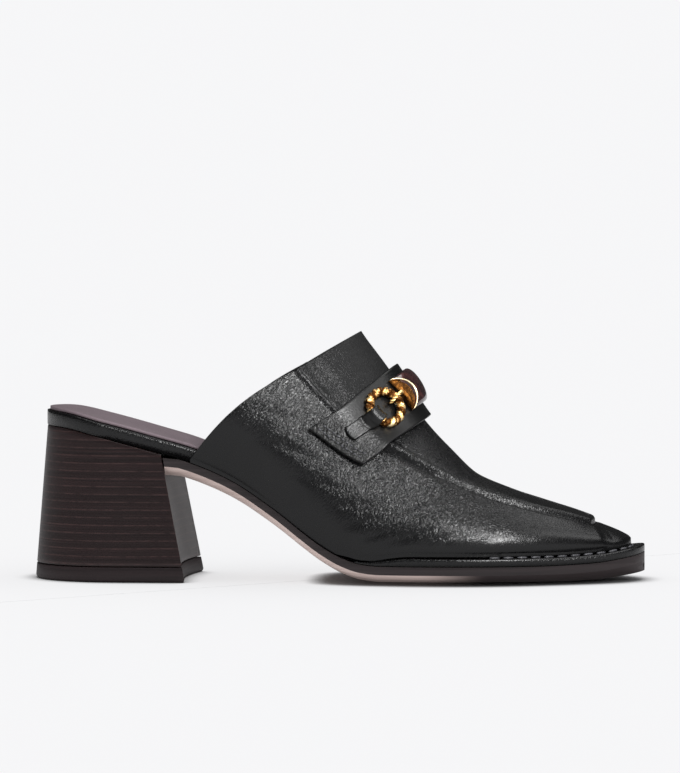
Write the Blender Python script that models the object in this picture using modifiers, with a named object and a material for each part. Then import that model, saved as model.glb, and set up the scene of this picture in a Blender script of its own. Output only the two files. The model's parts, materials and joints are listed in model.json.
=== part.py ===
"""Heeled mule, the right shoe of a pair, in metres.

The toe points along +X, the outer side faces -Y and the floor is Z = 0.
"""

import math
from bisect import bisect_right
from collections import namedtuple
from functools import lru_cache

import bmesh
import bpy
import numpy as np
from mathutils import Matrix, Vector

GAP = 0.0003                    # between pieces that meet

# Driving sizes of the shoe
LENGTH = 0.2505                 # back of the heel to the tip of the sole
BALL_WIDTH = 0.0820             # sole across the ball of the foot
HEEL_HEIGHT = 0.0632            # floor to the seat, at the back
VAMP_RISE = 0.0905              # sole to the inside of the tongue's top

# Sole and heel
SOLE_SIDE = 0.0034              # upright side of the outsole
SOLE_BEVEL = 0.0018             # trimmed bevel below the side
SOLE_BEVEL_IN = 0.0026          # width of that bevel seen from below
TREAD_ROUND = 0.0026            # fall of the underside from its edge to its flat
TOE_SPRING = 0.0040             # lift of the toe above the tread
HEEL_FLOOR_WIDTH = 0.0606
HEEL_FLOOR_LENGTH = 0.0640
HEEL_SEAT_WIDTH = 0.0520
HEEL_BACK_LEAN = 0.0051         # how far the back leans in, floor to seat
HEEL_BREAST_LEAN = 0.0122       # how far the breast leans back, floor to seat
HEEL_BREAST_HOLLOW = 0.0030
HEEL_BREAST_SKEW = 0.0028       # how much longer the inner side is
TOP_PIECE = 0.0062              # thickness of the heel's tread
TOP_PIECE_EDGE = 0.0014         # rounding of its lower edge

# Insole and sock lining
INSOLE_SEAT = 0.0058            # thickness where its edge shows
INSOLE_FORE = 0.0032            # thickness inside the upper
INSOLE_EDGE = 0.0010            # chamfer of its edge
SEAT_SETBACK = 0.0046           # back of the heel's tread to the back of the insole
SOCK_LINING = 0.0012
SOCK_INSET = 0.0012             # sock's edge inside the insole's, at the seat
SOCK_TOE_INSET = 0.0036         # the same inside the upper

# Upper and welt
UPPER_WALL = 0.0018
APRON_RISE = 0.0015             # how far the apron stands above the wall
APRON_ROLL = 0.0007             # rolled edge of the apron above that
SEAM_GROOVE = 0.0005            # depth of the groove outside the roll
ROLL_WIDTH = 0.0042             # seam to where the roll has run out
SEAM_MARGIN = 0.0016            # groove to where the wall has its full thickness
FOOT_STRIP = 0.0018             # upright foot of the wall above the welt
WELT_THICKNESS = 0.0030
WELT_END = 0.0006               # its thickness where it runs out at the waist
WELT_EDGE = 0.0007
WELT_CLEARANCE = 0.0008
WAIST_MARGIN = 0.0004           # outsole beyond the upper at the waist
TOE_MARGIN = 0.0058             # outsole and welt beyond the upper at the toe

# Strap and its hardware
STRAP_WIDTH = 0.0252
STRAP_THICKNESS = 0.0018
STRAP_REACH = 0.0470            # crest to the middle of either end, over the upper
STRAP_END_SKEW = 0.0070         # how much further the end reaches at the heel side
STRAP_CLEARANCE = 0.0007        # strap above the apron's roll
STRAP_REST = 0.0002             # the same above the wall
STRAP_RUN_DOWN = 0.0240         # length over which it comes down from the apron to the wall
SKIN_STEP = 0.0015              # half the arc that its direction is measured over
TAB_WIDTH = 0.0064
TAB_THICKNESS = 0.0012
TAB_TAIL = 0.0085               # tab's flat tail behind the ring
RING_DIAMETER = 0.0176          # over the rope
ROPE_DIAMETER = 0.0038
RING_FROM_CREST = 0.0225        # crest to the centre of a ring
HARDWARE_SHIFT = -0.0018        # hardware off the middle of the strap, towards the heel
LINK_DIAMETER = 0.0016          # of the link's rope
BAR_WIDTH = 0.0142
BAR_CROWN = 0.0038
BAR_EDGE = 0.0008               # upright edge below the crown
BAR_HALF_LENGTH = 0.0098
CAP_LENGTH = 0.0028
CAP_PROUD = 0.0005              # cap's rim above the bar
CAP_FALL = 0.0006               # cap's closed end below the bar

# One row a section: station from the back of the heel as a share of LENGTH, the arch as a
# share of the seat's height, the spring as a share of TOE_SPRING
Profile = namedtuple("Profile", "station arch spring")
PROFILE = (
    Profile(0.000, 1.000, 0),
    Profile(0.050, 0.988, 0),
    Profile(0.120, 0.916, 0),
    Profile(0.210, 0.806, 0),
    Profile(0.262, 0.738, 0),
    Profile(0.312, 0.646, 0),
    Profile(0.345, 0.567, 0),
    Profile(0.377, 0.473, 0),
    Profile(0.410, 0.367, 0),
    Profile(0.443, 0.251, 0),
    Profile(0.476, 0.144, 0),
    Profile(0.510, 0.060, 0),
    Profile(0.542, 0.014, 0),
    Profile(0.575, 0.000, 0),
    Profile(0.850, 0.000, 0),
    Profile(0.928, 0.000, 0.20),
    Profile(0.960, 0.000, 0.47),
    Profile(0.992, 0.000, 0.85),
    Profile(1.000, 0.000, 1.00),
)

# Bottom of the last: half widths to the outer and inner side as shares of BALL_WIDTH, and
# the sole's margin as a share of TOE_MARGIN
Last = namedtuple("Last", "station outer inner margin")
LAST = (
    Last(0.120, 0.317, 0.311, 0.00),
    Last(0.210, 0.309, 0.296, 0.00),
    Last(0.260, 0.300, 0.278, 0.00),
    Last(0.310, 0.296, 0.261, 0.00),
    Last(0.380, 0.321, 0.254, 0.02),
    Last(0.445, 0.361, 0.278, 0.05),
    Last(0.510, 0.409, 0.334, 0.10),
    Last(0.575, 0.444, 0.390, 0.16),
    Last(0.640, 0.462, 0.437, 0.24),
    Last(0.690, 0.459, 0.457, 0.31),
    Last(0.750, 0.429, 0.451, 0.40),
    Last(0.810, 0.366, 0.399, 0.52),
    Last(0.870, 0.276, 0.310, 0.66),
    Last(0.923, 0.186, 0.217, 0.82),
    Last(1.000, 0.000, 0.000, 1.00),
)
SEAT_STATION, TOE_STATION = 0.120, 0.923    # where the sides run into the seat and toe arcs
TOE_RUN = 0.5                               # how far the sides run on towards the tip
TOE_SQUARENESS = 0.60                       # share of the toe's width that its front keeps

# Ribs of the upper, from the topline to the toe: stations of the rib's foot, of the apron
# seam and of the crest; half widths at the seam and the bulge of the wall as shares of
# BALL_WIDTH; heights above the sole and the bow of the topline as shares of VAMP_RISE
Rib = namedtuple("Rib", "foot seam seam_outer seam_inner seam_rise crest crest_rise bulge bow")
RIBS = (
    Rib(0.263, 0.436, 0.292, 0.292, 0.705, 0.526, 1.000, 0.096, 0.045),
    Rib(0.340, 0.501, 0.300, 0.300, 0.636, 0.568, 0.861, 0.092, 0.016),
    Rib(0.432, 0.579, 0.318, 0.318, 0.516, 0.628, 0.612, 0.080, 0.000),
    Rib(0.520, 0.637, 0.332, 0.336, 0.430, 0.673, 0.475, 0.066, 0.000),
    Rib(0.620, 0.698, 0.328, 0.342, 0.348, 0.722, 0.349, 0.056, 0.000),
    Rib(0.720, 0.762, 0.294, 0.316, 0.278, 0.775, 0.286, 0.048, 0.000),
    Rib(0.811, 0.826, 0.237, 0.262, 0.227, 0.831, 0.231, 0.042, 0.000),
    Rib(0.879, 0.878, 0.165, 0.183, 0.188, 0.875, 0.193, 0.036, 0.000),
    Rib(TOE_STATION, 0.910, 0.112, 0.142, 0.155, 0.917, 0.150, 0.028, 0.000),
)
TOE_BULGE = 0.012               # bulge at the middle of the toe, share of BALL_WIDTH
ARCH_POWER = 2.2                # section of the apron from seam to seam
STRAP_RIB = 1.54                # rib that the strap's centre line follows

# Counts of sections and of points along them
RIB_STEPS = 21
WALL_STEPS = (0.11, 0.26, 0.43, 0.61, 0.80, 1.0)
ROLL_STEPS = (0.19, 0.48, 1.0)
APRON_STEPS = 7
SIDE_STEPS = 26
TOE_SHARES = (0.86, 0.72, 0.58, 0.45, 0.32, 0.19, 0.07)
SEAT_ANGLES = (9, 26, 43, 60, 76)

OUTER, INNER = -1, 1


def curve_through(stations, values):
    """The monotone cubic through a table's stations and values, as a function of place."""
    x = [float(station) for station in stations]
    y = [float(value) for value in values]
    step = [after - before for before, after in zip(x, x[1:])]
    slope = [(y[i + 1] - y[i]) / step[i] for i in range(len(step))]
    tangent = [slope[0]]
    for i in range(1, len(step)):
        behind, ahead = slope[i - 1], slope[i]
        if behind * ahead <= 0:
            tangent.append(0.0)
            continue
        w1, w2 = 2 * step[i] + step[i - 1], step[i] + 2 * step[i - 1]
        tangent.append((w1 + w2) / (w1 / behind + w2 / ahead))
    tangent.append(slope[-1])

    def value(place):
        place = min(max(place, x[0]), x[-1])
        i = min(bisect_right(x, place) - 1, len(step) - 1)
        t = (place - x[i]) / step[i]
        rest = y[i] * (1 + 2 * t) * (1 - t) ** 2 + y[i + 1] * t * t * (3 - 2 * t)
        bend = step[i] * (tangent[i] * t * (1 - t) ** 2 - tangent[i + 1] * t * t * (1 - t))
        return rest + bend

    return value


def table_curves(table, stations=None):
    """One curve for each column of a table, over its stations or else over its rows."""
    places = stations or range(len(table))
    return {name: curve_through(places, [getattr(row, name) for row in table]) for name in table[0]._fields}


def at_station(share):
    """X of a station."""
    return (share - 0.5) * LENGTH


def station_of(x):
    return x / LENGTH + 0.5


def ease(value):
    """A smooth step from 0 to 1."""
    value = min(max(value, 0.0), 1.0)
    return value * value * (3 - 2 * value)


# The last and the sole line

TREAD_TOP = TREAD_ROUND + SOLE_BEVEL + SOLE_SIDE
PROFILE_CURVES = table_curves(PROFILE, [row.station for row in PROFILE])
LAST_CURVES = table_curves(LAST, [row.station for row in LAST])
RIB_CURVES = table_curves(RIBS)


def sole_top(x):
    """Height of the outsole's top, which the insole, the welt and the upper stand on."""
    station = station_of(x)
    arch, spring = PROFILE_CURVES["arch"](station), PROFILE_CURVES["spring"](station)
    return TREAD_TOP + arch * (HEEL_HEIGHT - TREAD_TOP) + spring * TOE_SPRING


def margin(x):
    """How far the outsole stands beyond the upper."""
    share = LAST_CURVES["margin"](station_of(x))
    return WAIST_MARGIN + share * (TOE_MARGIN - WAIST_MARGIN)


def last_side(side, x):
    """Y of the last's bottom edge along its sides."""
    name = "outer" if side == OUTER else "inner"
    return side * BALL_WIDTH * LAST_CURVES[name](station_of(x))


SEAT_X = at_station(SEAT_STATION)
SEAT_BACK_X = at_station(0) + SEAT_SETBACK
TOE_X = at_station(TOE_STATION)
LAST_TIP_X = at_station(1) - TOE_MARGIN - UPPER_WALL


def seat_edge(side, degrees):
    """Point on the round back of the seat, 0 at its middle and 90 where the side begins."""
    angle = math.radians(degrees)
    x = SEAT_X - (SEAT_X - SEAT_BACK_X) * math.cos(angle)
    return x, last_side(side, SEAT_X) * math.sin(angle)


def toe_edge(share):
    """Point on the squared toe, -1 where the outer side runs in, 0 at the middle, 1 inside."""
    side = OUTER if share < 0 else INNER
    t = 1 - abs(share)
    middle = (last_side(OUTER, TOE_X) + last_side(INNER, TOE_X)) / 2
    step = (LAST_TIP_X - TOE_X) * TOE_RUN
    start = (TOE_X, last_side(side, TOE_X))
    run_in = (TOE_X + step, last_side(side, TOE_X + step))
    front = (LAST_TIP_X, middle + (start[1] - middle) * TOE_SQUARENESS)
    tip = (LAST_TIP_X, middle)
    shares = ((1 - t) ** 3, 3 * t * (1 - t) ** 2, 3 * t * t * (1 - t), t ** 3)
    return tuple(sum(w * p[i] for w, p in zip(shares, (start, run_in, front, tip))) for i in (0, 1))


def side_of_last(side, start=SEAT_X):
    """Edge of the last's bottom on one side, from the back to the toe's middle."""
    points = []
    if start <= SEAT_X:
        points += [seat_edge(side, degrees) for degrees in SEAT_ANGLES]
    points += [(x, last_side(side, x)) for x in np.linspace(start, TOE_X, SIDE_STEPS)]
    points += [toe_edge(side * share) for share in TOE_SHARES]
    return points


def closed_outline(start=SEAT_X):
    """The last's bottom edge, outer side first, and its outward directions in plan."""
    loop = np.array(side_of_last(OUTER, start) + side_of_last(INNER, start)[::-1])
    along = np.roll(loop, -1, axis=0) - np.roll(loop, 1, axis=0)
    if start > SEAT_X:
        along[0] = loop[1] - loop[0]
        along[-1] = loop[-1] - loop[-2]
    along /= np.linalg.norm(along, axis=1)[:, None]
    outward = np.stack([along[:, 1], -along[:, 0]], axis=1)
    return loop, outward


def rungs(loop):
    """Pairs of facing points of a closed outline, from the back to the toe."""
    half = len(loop) // 2
    return list(zip(loop[:half], loop[::-1][:half]))


# Making objects

def clear_scene():
    for item in list(bpy.data.objects):
        bpy.data.objects.remove(item, do_unlink=True)


def new_collection(name):
    made = bpy.data.collections.new(name)
    bpy.context.scene.collection.children.link(made)
    return made


def material(name, colour, roughness, metallic=0.0):
    made = bpy.data.materials.new(name)
    made.use_nodes = True
    shader = made.node_tree.nodes["Principled BSDF"]
    shader.inputs["Base Color"].default_value = (*colour, 1)
    shader.inputs["Roughness"].default_value = roughness
    shader.inputs["Metallic"].default_value = metallic
    made.diffuse_color = (*colour, 1)
    return made


def add_object(name, bm, collection, finish=None):
    """The bmesh as a named object of a collection, shaded smooth with its edges kept."""
    mesh = bpy.data.meshes.new(name)
    bm.to_mesh(mesh)
    bm.free()
    mesh.shade_smooth()
    mesh.set_sharp_from_angle(angle=math.radians(35))
    item = bpy.data.objects.new(name, mesh)
    collection.objects.link(item)
    if finish:
        mesh.materials.append(finish)
    return item


def loft(sections):
    """A closed skin through sections of as many points each, with a face at both ends."""
    bm = bmesh.new()
    rings = [[bm.verts.new(point) for point in section] for section in sections]
    for near, far in zip(rings, rings[1:]):
        for first in range(len(near)):
            second = (first + 1) % len(near)
            bm.faces.new((near[first], near[second], far[second], far[first]))
    bm.faces.new(rings[0])
    bm.faces.new(rings[-1])
    bmesh.ops.recalc_face_normals(bm, faces=bm.faces)
    return bm


def across(pair, share, inset=0.0):
    """Point in plan between the two ends of a rung, from a little inside them."""
    outer, inner = np.asarray(pair[0]), np.asarray(pair[1])
    length = np.linalg.norm(inner - outer)
    return outer + (inner - outer) * (inset / length + share * (1 - 2 * inset / length))


# Outsole

def breast_x(y, z, half):
    """Face of the heel's breast, hollow across and leaning back as it rises."""
    front = at_station(0) + HEEL_FLOOR_LENGTH - HEEL_BREAST_LEAN * z / HEEL_HEIGHT
    skew = HEEL_BREAST_SKEW * (1 + y / half) / 2
    hollow = HEEL_BREAST_HOLLOW * (1 - (y / half) ** 2)
    return front + skew - hollow


def sole_section(pair):
    """Section of the outsole: top, upright sides, trimmed bevels and the rounded tread."""
    columns = [(share, 0.0, 0.0) for share in (0, 0.25, 0.5, 0.75, 1)]
    side = SOLE_SIDE
    low = SOLE_SIDE + SOLE_BEVEL
    under = [(1, 0, side), (1, SOLE_BEVEL_IN, low), (0.90, SOLE_BEVEL_IN, low + TREAD_ROUND * 0.5)]
    under += [(0.79, 0, low + TREAD_ROUND * 0.86), (0.66, 0, low + TREAD_ROUND)]
    columns += under + [(1 - share, inset, fall) for share, inset, fall in under[::-1]]
    points = []
    for share, inset, fall in columns:
        x, y = across(pair, share, inset)
        points.append(Vector((x, y, sole_top(x) - fall)))
    return points


def build_outsole(collection, finish):
    start = breast_x(-HEEL_SEAT_WIDTH / 2, sole_top(at_station(0.22)) - TREAD_TOP, HEEL_SEAT_WIDTH / 2)
    loop, outward = closed_outline(start + HEEL_BREAST_SKEW + 2 * GAP)
    reach = np.array([UPPER_WALL + margin(x) for x, _ in loop])
    sections = [sole_section(pair) for pair in rungs(loop + outward * reach[:, None])]
    for point in sections[0]:
        point.x = breast_x(point.y, point.z, HEEL_SEAT_WIDTH / 2) + GAP
    return add_object("outsole", loft(sections), collection, finish)


# Heel

def heel_outline(z):
    """D-shaped section of the heel: a round back, and a breast hollowed across."""
    share = z / HEEL_HEIGHT
    half = (HEEL_FLOOR_WIDTH + (HEEL_SEAT_WIDTH - HEEL_FLOOR_WIDTH) * share) / 2
    back = at_station(0) + HEEL_BACK_LEAN * share
    round_length = half * 1.14
    points = []
    for degrees in np.linspace(-90, 90, 19):
        angle = math.radians(degrees)
        x = back + round_length * (1 - abs(math.cos(angle)) ** 0.95)
        points.append(Vector((x, half * math.sin(angle), z)))
    for y_share in (1, 0.6, 0.2, -0.2, -0.6, -1):
        y = half * y_share
        points.append(Vector((breast_x(y, z, half), y, z)))
    return points


def build_heel(collection, cutters, finish):
    low, high = TOP_PIECE + GAP, HEEL_HEIGHT + GAP
    heel = add_object("heel", loft([heel_outline(low), heel_outline(high)]), collection, finish)
    seat = [(x, sole_top(x)) for x in np.linspace(at_station(-0.05), at_station(0.35), 18)]
    seat += [(at_station(0.35), HEEL_HEIGHT * 1.3), (at_station(-0.05), HEEL_HEIGHT * 1.3)]
    wide = HEEL_FLOOR_WIDTH
    above = loft([[Vector((x, y, z)) for x, z in seat] for y in (-wide, wide)])
    above_seat = add_object("above_seat", above, cutters)
    above_seat.hide_render = True
    above_seat.display_type = "WIRE"
    cut = heel.modifiers.new("seat", "BOOLEAN")
    cut.object = above_seat
    cut.operation = "DIFFERENCE"
    cut.solver = "EXACT"
    return heel


def build_top_piece(collection, finish):
    """The heel's tread, with its lower edge rounded."""
    sections = []
    for z, inset in ((0, 1.0), (0.25, 0.5), (0.6, 0.12), (1.0, 0.0)):
        outline = heel_outline(z * TOP_PIECE_EDGE)
        middle = sum(outline, Vector()) / len(outline)
        for point in outline:
            inward = Vector((middle.x - point.x, middle.y - point.y, 0)).normalized()
            point += inward * TOP_PIECE_EDGE * inset
        sections.append(outline)
    sections.append(heel_outline(TOP_PIECE))
    return add_object("heel_top_piece", loft(sections), collection, finish)


# Insole and sock lining

def insole_thickness(x):
    """Thick at the seat, where its edge shows, and thinner inside the upper."""
    inside = ease((station_of(x) - 0.27) / 0.22)
    return INSOLE_SEAT + (INSOLE_FORE - INSOLE_SEAT) * inside


def slab_section(pair, low, high, edge, inset):
    """Section of a thin slab with chamfered edges; low and high are functions of X."""
    points = []
    for share, more, top, fall in (
        (0, edge, True, 0), (0.5, 0, True, 0), (1, edge, True, 0), (1, 0, True, edge),
        (1, 0, False, -edge), (1, edge, False, 0), (0, edge, False, 0), (0, 0, False, -edge),
        (0, 0, True, edge),
    ):
        x, y = across(pair, share, inset + more)
        height = high(x) if top else low(x)
        points.append(Vector((x, y, height - fall)))
    return points


def insole_bottom(x):
    return sole_top(x) + GAP


def insole_top(x):
    return insole_bottom(x) + insole_thickness(x)


def sock_top(x):
    return insole_top(x) + GAP + SOCK_LINING


def build_insole(collection, finish):
    loop, outward = closed_outline()
    pairs = rungs(loop - outward * GAP)
    sections = [slab_section(pair, insole_bottom, insole_top, INSOLE_EDGE, 0) for pair in pairs]
    return add_object("insole", loft(sections), collection, finish)


def build_sock(collection, finish):
    loop, outward = closed_outline()
    inside = np.array([ease((station_of(x) - 0.27) / 0.1) for x, _ in loop])
    reach = GAP + SOCK_INSET + (SOCK_TOE_INSET - SOCK_INSET) * inside
    pairs = rungs(loop - outward * reach[:, None])
    edge = SOCK_LINING * 0.3

    def bottom(x):
        return insole_top(x) + GAP

    sections = [slab_section(pair, bottom, sock_top, edge, 0) for pair in pairs]
    return add_object("sock_lining", loft(sections), collection, finish)


# Upper

def rib_value(rib, name):
    return RIB_CURVES[name](rib)


WELT_STATION = 0.535            # where the welt begins, behind the ball


def welt_height(x):
    """The welt thins out behind the ball, where the waist begins."""
    full = ease((station_of(x) - WELT_STATION) / 0.09)
    return WELT_END + (WELT_THICKNESS - WELT_END) * full


def foot_z(x):
    """Height of the upper's lower edge: on the welt, or on the outsole at the waist."""
    on_welt = ease((station_of(x) - WELT_STATION + 0.045) / 0.04)
    return sole_top(x) + GAP + on_welt * (welt_height(x) + WELT_CLEARANCE)


def foot_point(x, y, outward):
    """Foot of the wall, clear of the welt below its outer face too."""
    outer_x = x + outward[0] * UPPER_WALL
    return Vector((x, y, max(foot_z(x), foot_z(outer_x))))


def seam_point(side, rib):
    x = at_station(rib_value(rib, "seam"))
    half = rib_value(rib, "seam_outer" if side == OUTER else "seam_inner")
    return Vector((x, side * half * BALL_WIDTH, sole_top(x) + rib_value(rib, "seam_rise") * VAMP_RISE))


def crest_point(rib):
    x = at_station(rib_value(rib, "crest"))
    middle = (seam_point(OUTER, rib).y + seam_point(INNER, rib).y) / 2
    return Vector((x, middle, sole_top(x) + rib_value(rib, "crest_rise") * VAMP_RISE))


def plan_outward(side, x):
    """Outward direction of the last's side in plan."""
    step = LENGTH / 200
    rise = last_side(side, x + step) - last_side(side, x - step)
    return Vector((-side * rise, side * 2 * step, 0)).normalized()


WallRib = namedtuple("WallRib", "foot seam outward bulge bow")


def side_wall(side, rib):
    x = at_station(rib_value(rib, "foot"))
    outward = plan_outward(side, x)
    return WallRib(
        foot_point(x, last_side(side, x), outward),
        seam_point(side, rib),
        outward,
        rib_value(rib, "bulge") * BALL_WIDTH,
        rib_value(rib, "bow") * VAMP_RISE,
    )


def toe_wall(share, seam):
    """Rib of the wall round the toe, up to the apron's squared front."""
    x, y = toe_edge(share)
    before, after = toe_edge(max(share - 0.04, -1)), toe_edge(min(share + 0.04, 1))
    outward = Vector((after[1] - before[1], before[0] - after[0], 0)).normalized()
    bulge = TOE_BULGE + (RIBS[-1].bulge - TOE_BULGE) * share ** 2
    return WallRib(foot_point(x, y, outward), seam, outward, bulge * BALL_WIDTH, 0.0)


def wall_point(wall, share):
    """Point of the wall's inner face between its upright foot and the seam."""
    start = wall.foot + Vector((0, 0, FOOT_STRIP))
    point = start.lerp(wall.seam, share)
    swell = math.sin(math.pi * share ** 0.85)
    chord = wall.seam - start
    up_back = Vector((-chord.z, 0, chord.x)).normalized() if wall.bow else Vector()
    return point + wall.outward * wall.bulge * swell + up_back * wall.bow * math.sin(math.pi * share)


def apron_point(rib, share):
    """Point of the apron's inner face, 0 at the outer seam and 1 at the inner one."""
    outer, inner, crest = seam_point(OUTER, rib), seam_point(INNER, rib), crest_point(rib)
    base = outer.lerp(inner, share)
    arch = 1 - abs(2 * share - 1) ** ARCH_POWER
    middle = (outer + inner) / 2
    return base + (crest - middle) * arch


def apron_shares(rib):
    """Columns across the apron, close together where its edge rolls over."""
    width = (seam_point(INNER, rib) - seam_point(OUTER, rib)).length
    arch = 1 + 0.9 * (crest_point(rib) - seam_point(OUTER, rib)).z / width
    roll = [step * ROLL_WIDTH / (width * arch) for step in ROLL_STEPS]
    middle = list(np.linspace(roll[-1], 1 - roll[-1], APRON_STEPS + 2))
    return [0.0] + roll[:-1] + middle + [1 - share for share in roll[-2::-1]] + [1.0]


def apron_ribs():
    """Ribs along the apron, close together at its squared front."""
    last = len(RIBS) - 1
    length = (crest_point(last) - crest_point(last - 1)).length
    roll = [last - step * ROLL_WIDTH / length for step in ROLL_STEPS]
    return list(np.linspace(0, roll[-1], RIB_STEPS)) + roll[-2::-1] + [last]


def relief(distance):
    """Thickness added to the wall at a distance inside the seam."""
    steps = [step * ROLL_WIDTH for step in ROLL_STEPS]
    stations = [0.0] + steps
    values = [-SEAM_GROOVE, APRON_RISE + APRON_ROLL, APRON_RISE + APRON_ROLL * 0.8, APRON_RISE]
    return float(np.interp(distance, stations, values))


def build_upper(collection, finish):
    """Open inner face of the upper, thickened outwards; the apron is a step in the wall."""
    bm = bmesh.new()
    thickness = {}

    def vertex(point, added=0.0):
        made = bm.verts.new(point)
        thickness[made] = UPPER_WALL + added
        return made

    ribs = apron_ribs()
    front = len(ribs) - 1
    apron = []
    for index, rib in enumerate(ribs):
        shares = apron_shares(rib)
        width = (seam_point(INNER, rib) - seam_point(OUTER, rib)).length
        to_front = (crest_point(ribs[-1]) - crest_point(rib)).length
        row = []
        for place, share in enumerate(shares):
            edge = min(place, len(shares) - 1 - place, front - index)
            steps = (0.0,) + ROLL_STEPS
            distance = ROLL_WIDTH * (steps[edge] if edge < len(steps) else 1.0)
            row.append(vertex(apron_point(rib, share), relief(distance)))
        apron.append(row)
    for near, far in zip(apron, apron[1:]):
        for a in range(len(near) - 1):
            bm.faces.new((near[a], far[a], far[a + 1], near[a + 1]))

    corner = len(apron[-1]) - 1
    toe = np.linspace(-1, 1, corner + 1)
    walls = [(side_wall(OUTER, rib), row[0]) for rib, row in zip(ribs[:-1], apron)]
    walls += [(toe_wall(share, v.co.copy()), v) for share, v in zip(toe, apron[-1])]
    walls += [(side_wall(INNER, rib), row[-1]) for rib, row in zip(ribs[-2::-1], apron[-2::-1])]
    columns = []
    for wall, seam_vertex in walls:
        below = 1 - SEAM_MARGIN / (wall.seam - wall.foot).length
        points = [wall.foot] + [wall_point(wall, below * step) for step in (0, *WALL_STEPS)]
        columns.append([vertex(point) for point in points] + [seam_vertex])
    for near, far in zip(columns, columns[1:]):
        for a in range(len(near) - 1):
            bm.faces.new((near[a], far[a], far[a + 1], near[a + 1]))
    bmesh.ops.recalc_face_normals(bm, faces=bm.faces)
    bm.normal_update()
    top = max(bm.faces, key=lambda face: face.calc_center_median().z)
    if top.normal.z < 0:
        bmesh.ops.reverse_faces(bm, faces=bm.faces)

    most = max(thickness.values())
    bm.verts.index_update()
    weights = {item.index: value / most for item, value in thickness.items()}
    upper = add_object("upper", bm, collection, finish)
    group = upper.vertex_groups.new(name="thickness")
    for index, weight in weights.items():
        group.add([index], weight, "REPLACE")
    shell = upper.modifiers.new("wall", "SOLIDIFY")
    shell.thickness = most
    shell.offset = 1.0
    shell.vertex_group = group.name
    return upper


def build_welt(collection, finish):
    """Band on the outsole's edge, from side to side round the toe."""
    loop, outward = closed_outline(at_station(WELT_STATION))
    sections = []
    for (x, y), (out_x, out_y) in zip(loop, outward):
        reach = UPPER_WALL + margin(x)
        height = welt_height(x)
        edge = min(WELT_EDGE, height / 3)
        section = []
        for beyond, up in ((0, 0), (reach, 0), (reach, height - edge), (reach - edge, height), (0, height)):
            px, py = x + out_x * beyond, y + out_y * beyond
            section.append(Vector((px, py, sole_top(px) + GAP + up)))
        sections.append(section)
    return add_object("welt", loft(sections), collection, finish)


# The upper's skin, which the strap and its hardware lie on

@lru_cache(maxsize=None)
def rib_line(rib):
    """Points of one rib from the outer foot over the crest to the inner foot, and its arcs."""
    outer, inner = side_wall(OUTER, rib), side_wall(INNER, rib)
    shares = np.linspace(0, 1, 25)
    points = [wall_point(outer, share) for share in shares[:-1]]
    points += [apron_point(rib, share) for share in np.linspace(0, 1, 49)]
    points += [wall_point(inner, share) for share in shares[-2::-1]]
    points = np.array([tuple(point) for point in points])
    arcs = np.concatenate(([0], np.cumsum(np.linalg.norm(np.diff(points, axis=0), axis=1))))
    middle = 24 + 24
    return points, arcs - arcs[middle], arcs[24 + 48] - arcs[middle]


def on_skin(rib, arc):
    points, arcs, _ = rib_line(round(rib, 4))
    return Vector([np.interp(arc, arcs, points[:, axis]) for axis in range(3)])


Place = namedtuple("Place", "point along across normal")


def skin_place(arc, offset=0.0):
    """Place on the inner face along the strap: arc from the crest, offset towards the toe."""
    spacing = (on_skin(STRAP_RIB + 0.5, arc) - on_skin(STRAP_RIB - 0.5, arc)).length
    rib = STRAP_RIB + offset / spacing
    along = (on_skin(rib, arc + SKIN_STEP) - on_skin(rib, arc - SKIN_STEP)).normalized()
    across_it = (on_skin(rib + 0.1, arc) - on_skin(rib - 0.1, arc)).normalized()
    normal = across_it.cross(along).normalized()
    return Place(on_skin(rib, arc), along, across_it, normal)


def strap_height(arc):
    """Underside of the strap above the inner face: over the apron, then down on the wall."""
    seam = rib_line(STRAP_RIB)[2]
    down = ease((abs(arc) - seam) / STRAP_RUN_DOWN)
    over_apron = APRON_RISE + APRON_ROLL + STRAP_CLEARANCE
    return UPPER_WALL + GAP + over_apron * (1 - down) + STRAP_REST * down


def on_strap(arc, offset, above):
    """Point above the strap's outer face."""
    place = skin_place(arc, offset)
    return place.point + place.normal * (strap_height(arc) + STRAP_THICKNESS + above)


def build_strap(collection, finish):
    bm = bmesh.new()
    rows = []
    for length in np.linspace(-1, 1, 33):
        row = []
        for share in (-0.5, -0.25, 0, 0.25, 0.5):
            arc = length * (STRAP_REACH - share * STRAP_END_SKEW)
            place = skin_place(arc, share * STRAP_WIDTH)
            row.append(bm.verts.new(place.point + place.normal * strap_height(arc)))
        rows.append(row)
    for near, far in zip(rows, rows[1:]):
        for a in range(len(near) - 1):
            bm.faces.new((near[a], near[a + 1], far[a + 1], far[a]))
    bm.normal_update()
    if sum(face.normal.z for face in bm.faces) < 0:
        bmesh.ops.reverse_faces(bm, faces=bm.faces)
    strap = add_object("strap", bm, collection, finish)
    shell = strap.modifiers.new("thickness", "SOLIDIFY")
    shell.thickness = STRAP_THICKNESS
    shell.offset = 1.0
    return strap


# Hardware

ROPE = ROPE_DIAMETER / 2
RING = (RING_DIAMETER - ROPE_DIAMETER) / 2      # ring's centre line


def place_matrix(point, along, normal):
    across_it = normal.cross(along).normalized()
    turn = Matrix((along, across_it, normal)).transposed().to_4x4()
    return Matrix.Translation(point) @ turn


def ring_matrix(side):
    """Frame of a ring: its middle, X along the strap and Z off the strap."""
    place = skin_place(side * RING_FROM_CREST, HARDWARE_SHIFT)
    centre = on_strap(side * RING_FROM_CREST, HARDWARE_SHIFT, GAP + ROPE)
    return place_matrix(centre, place.along * side, place.normal)


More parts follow.
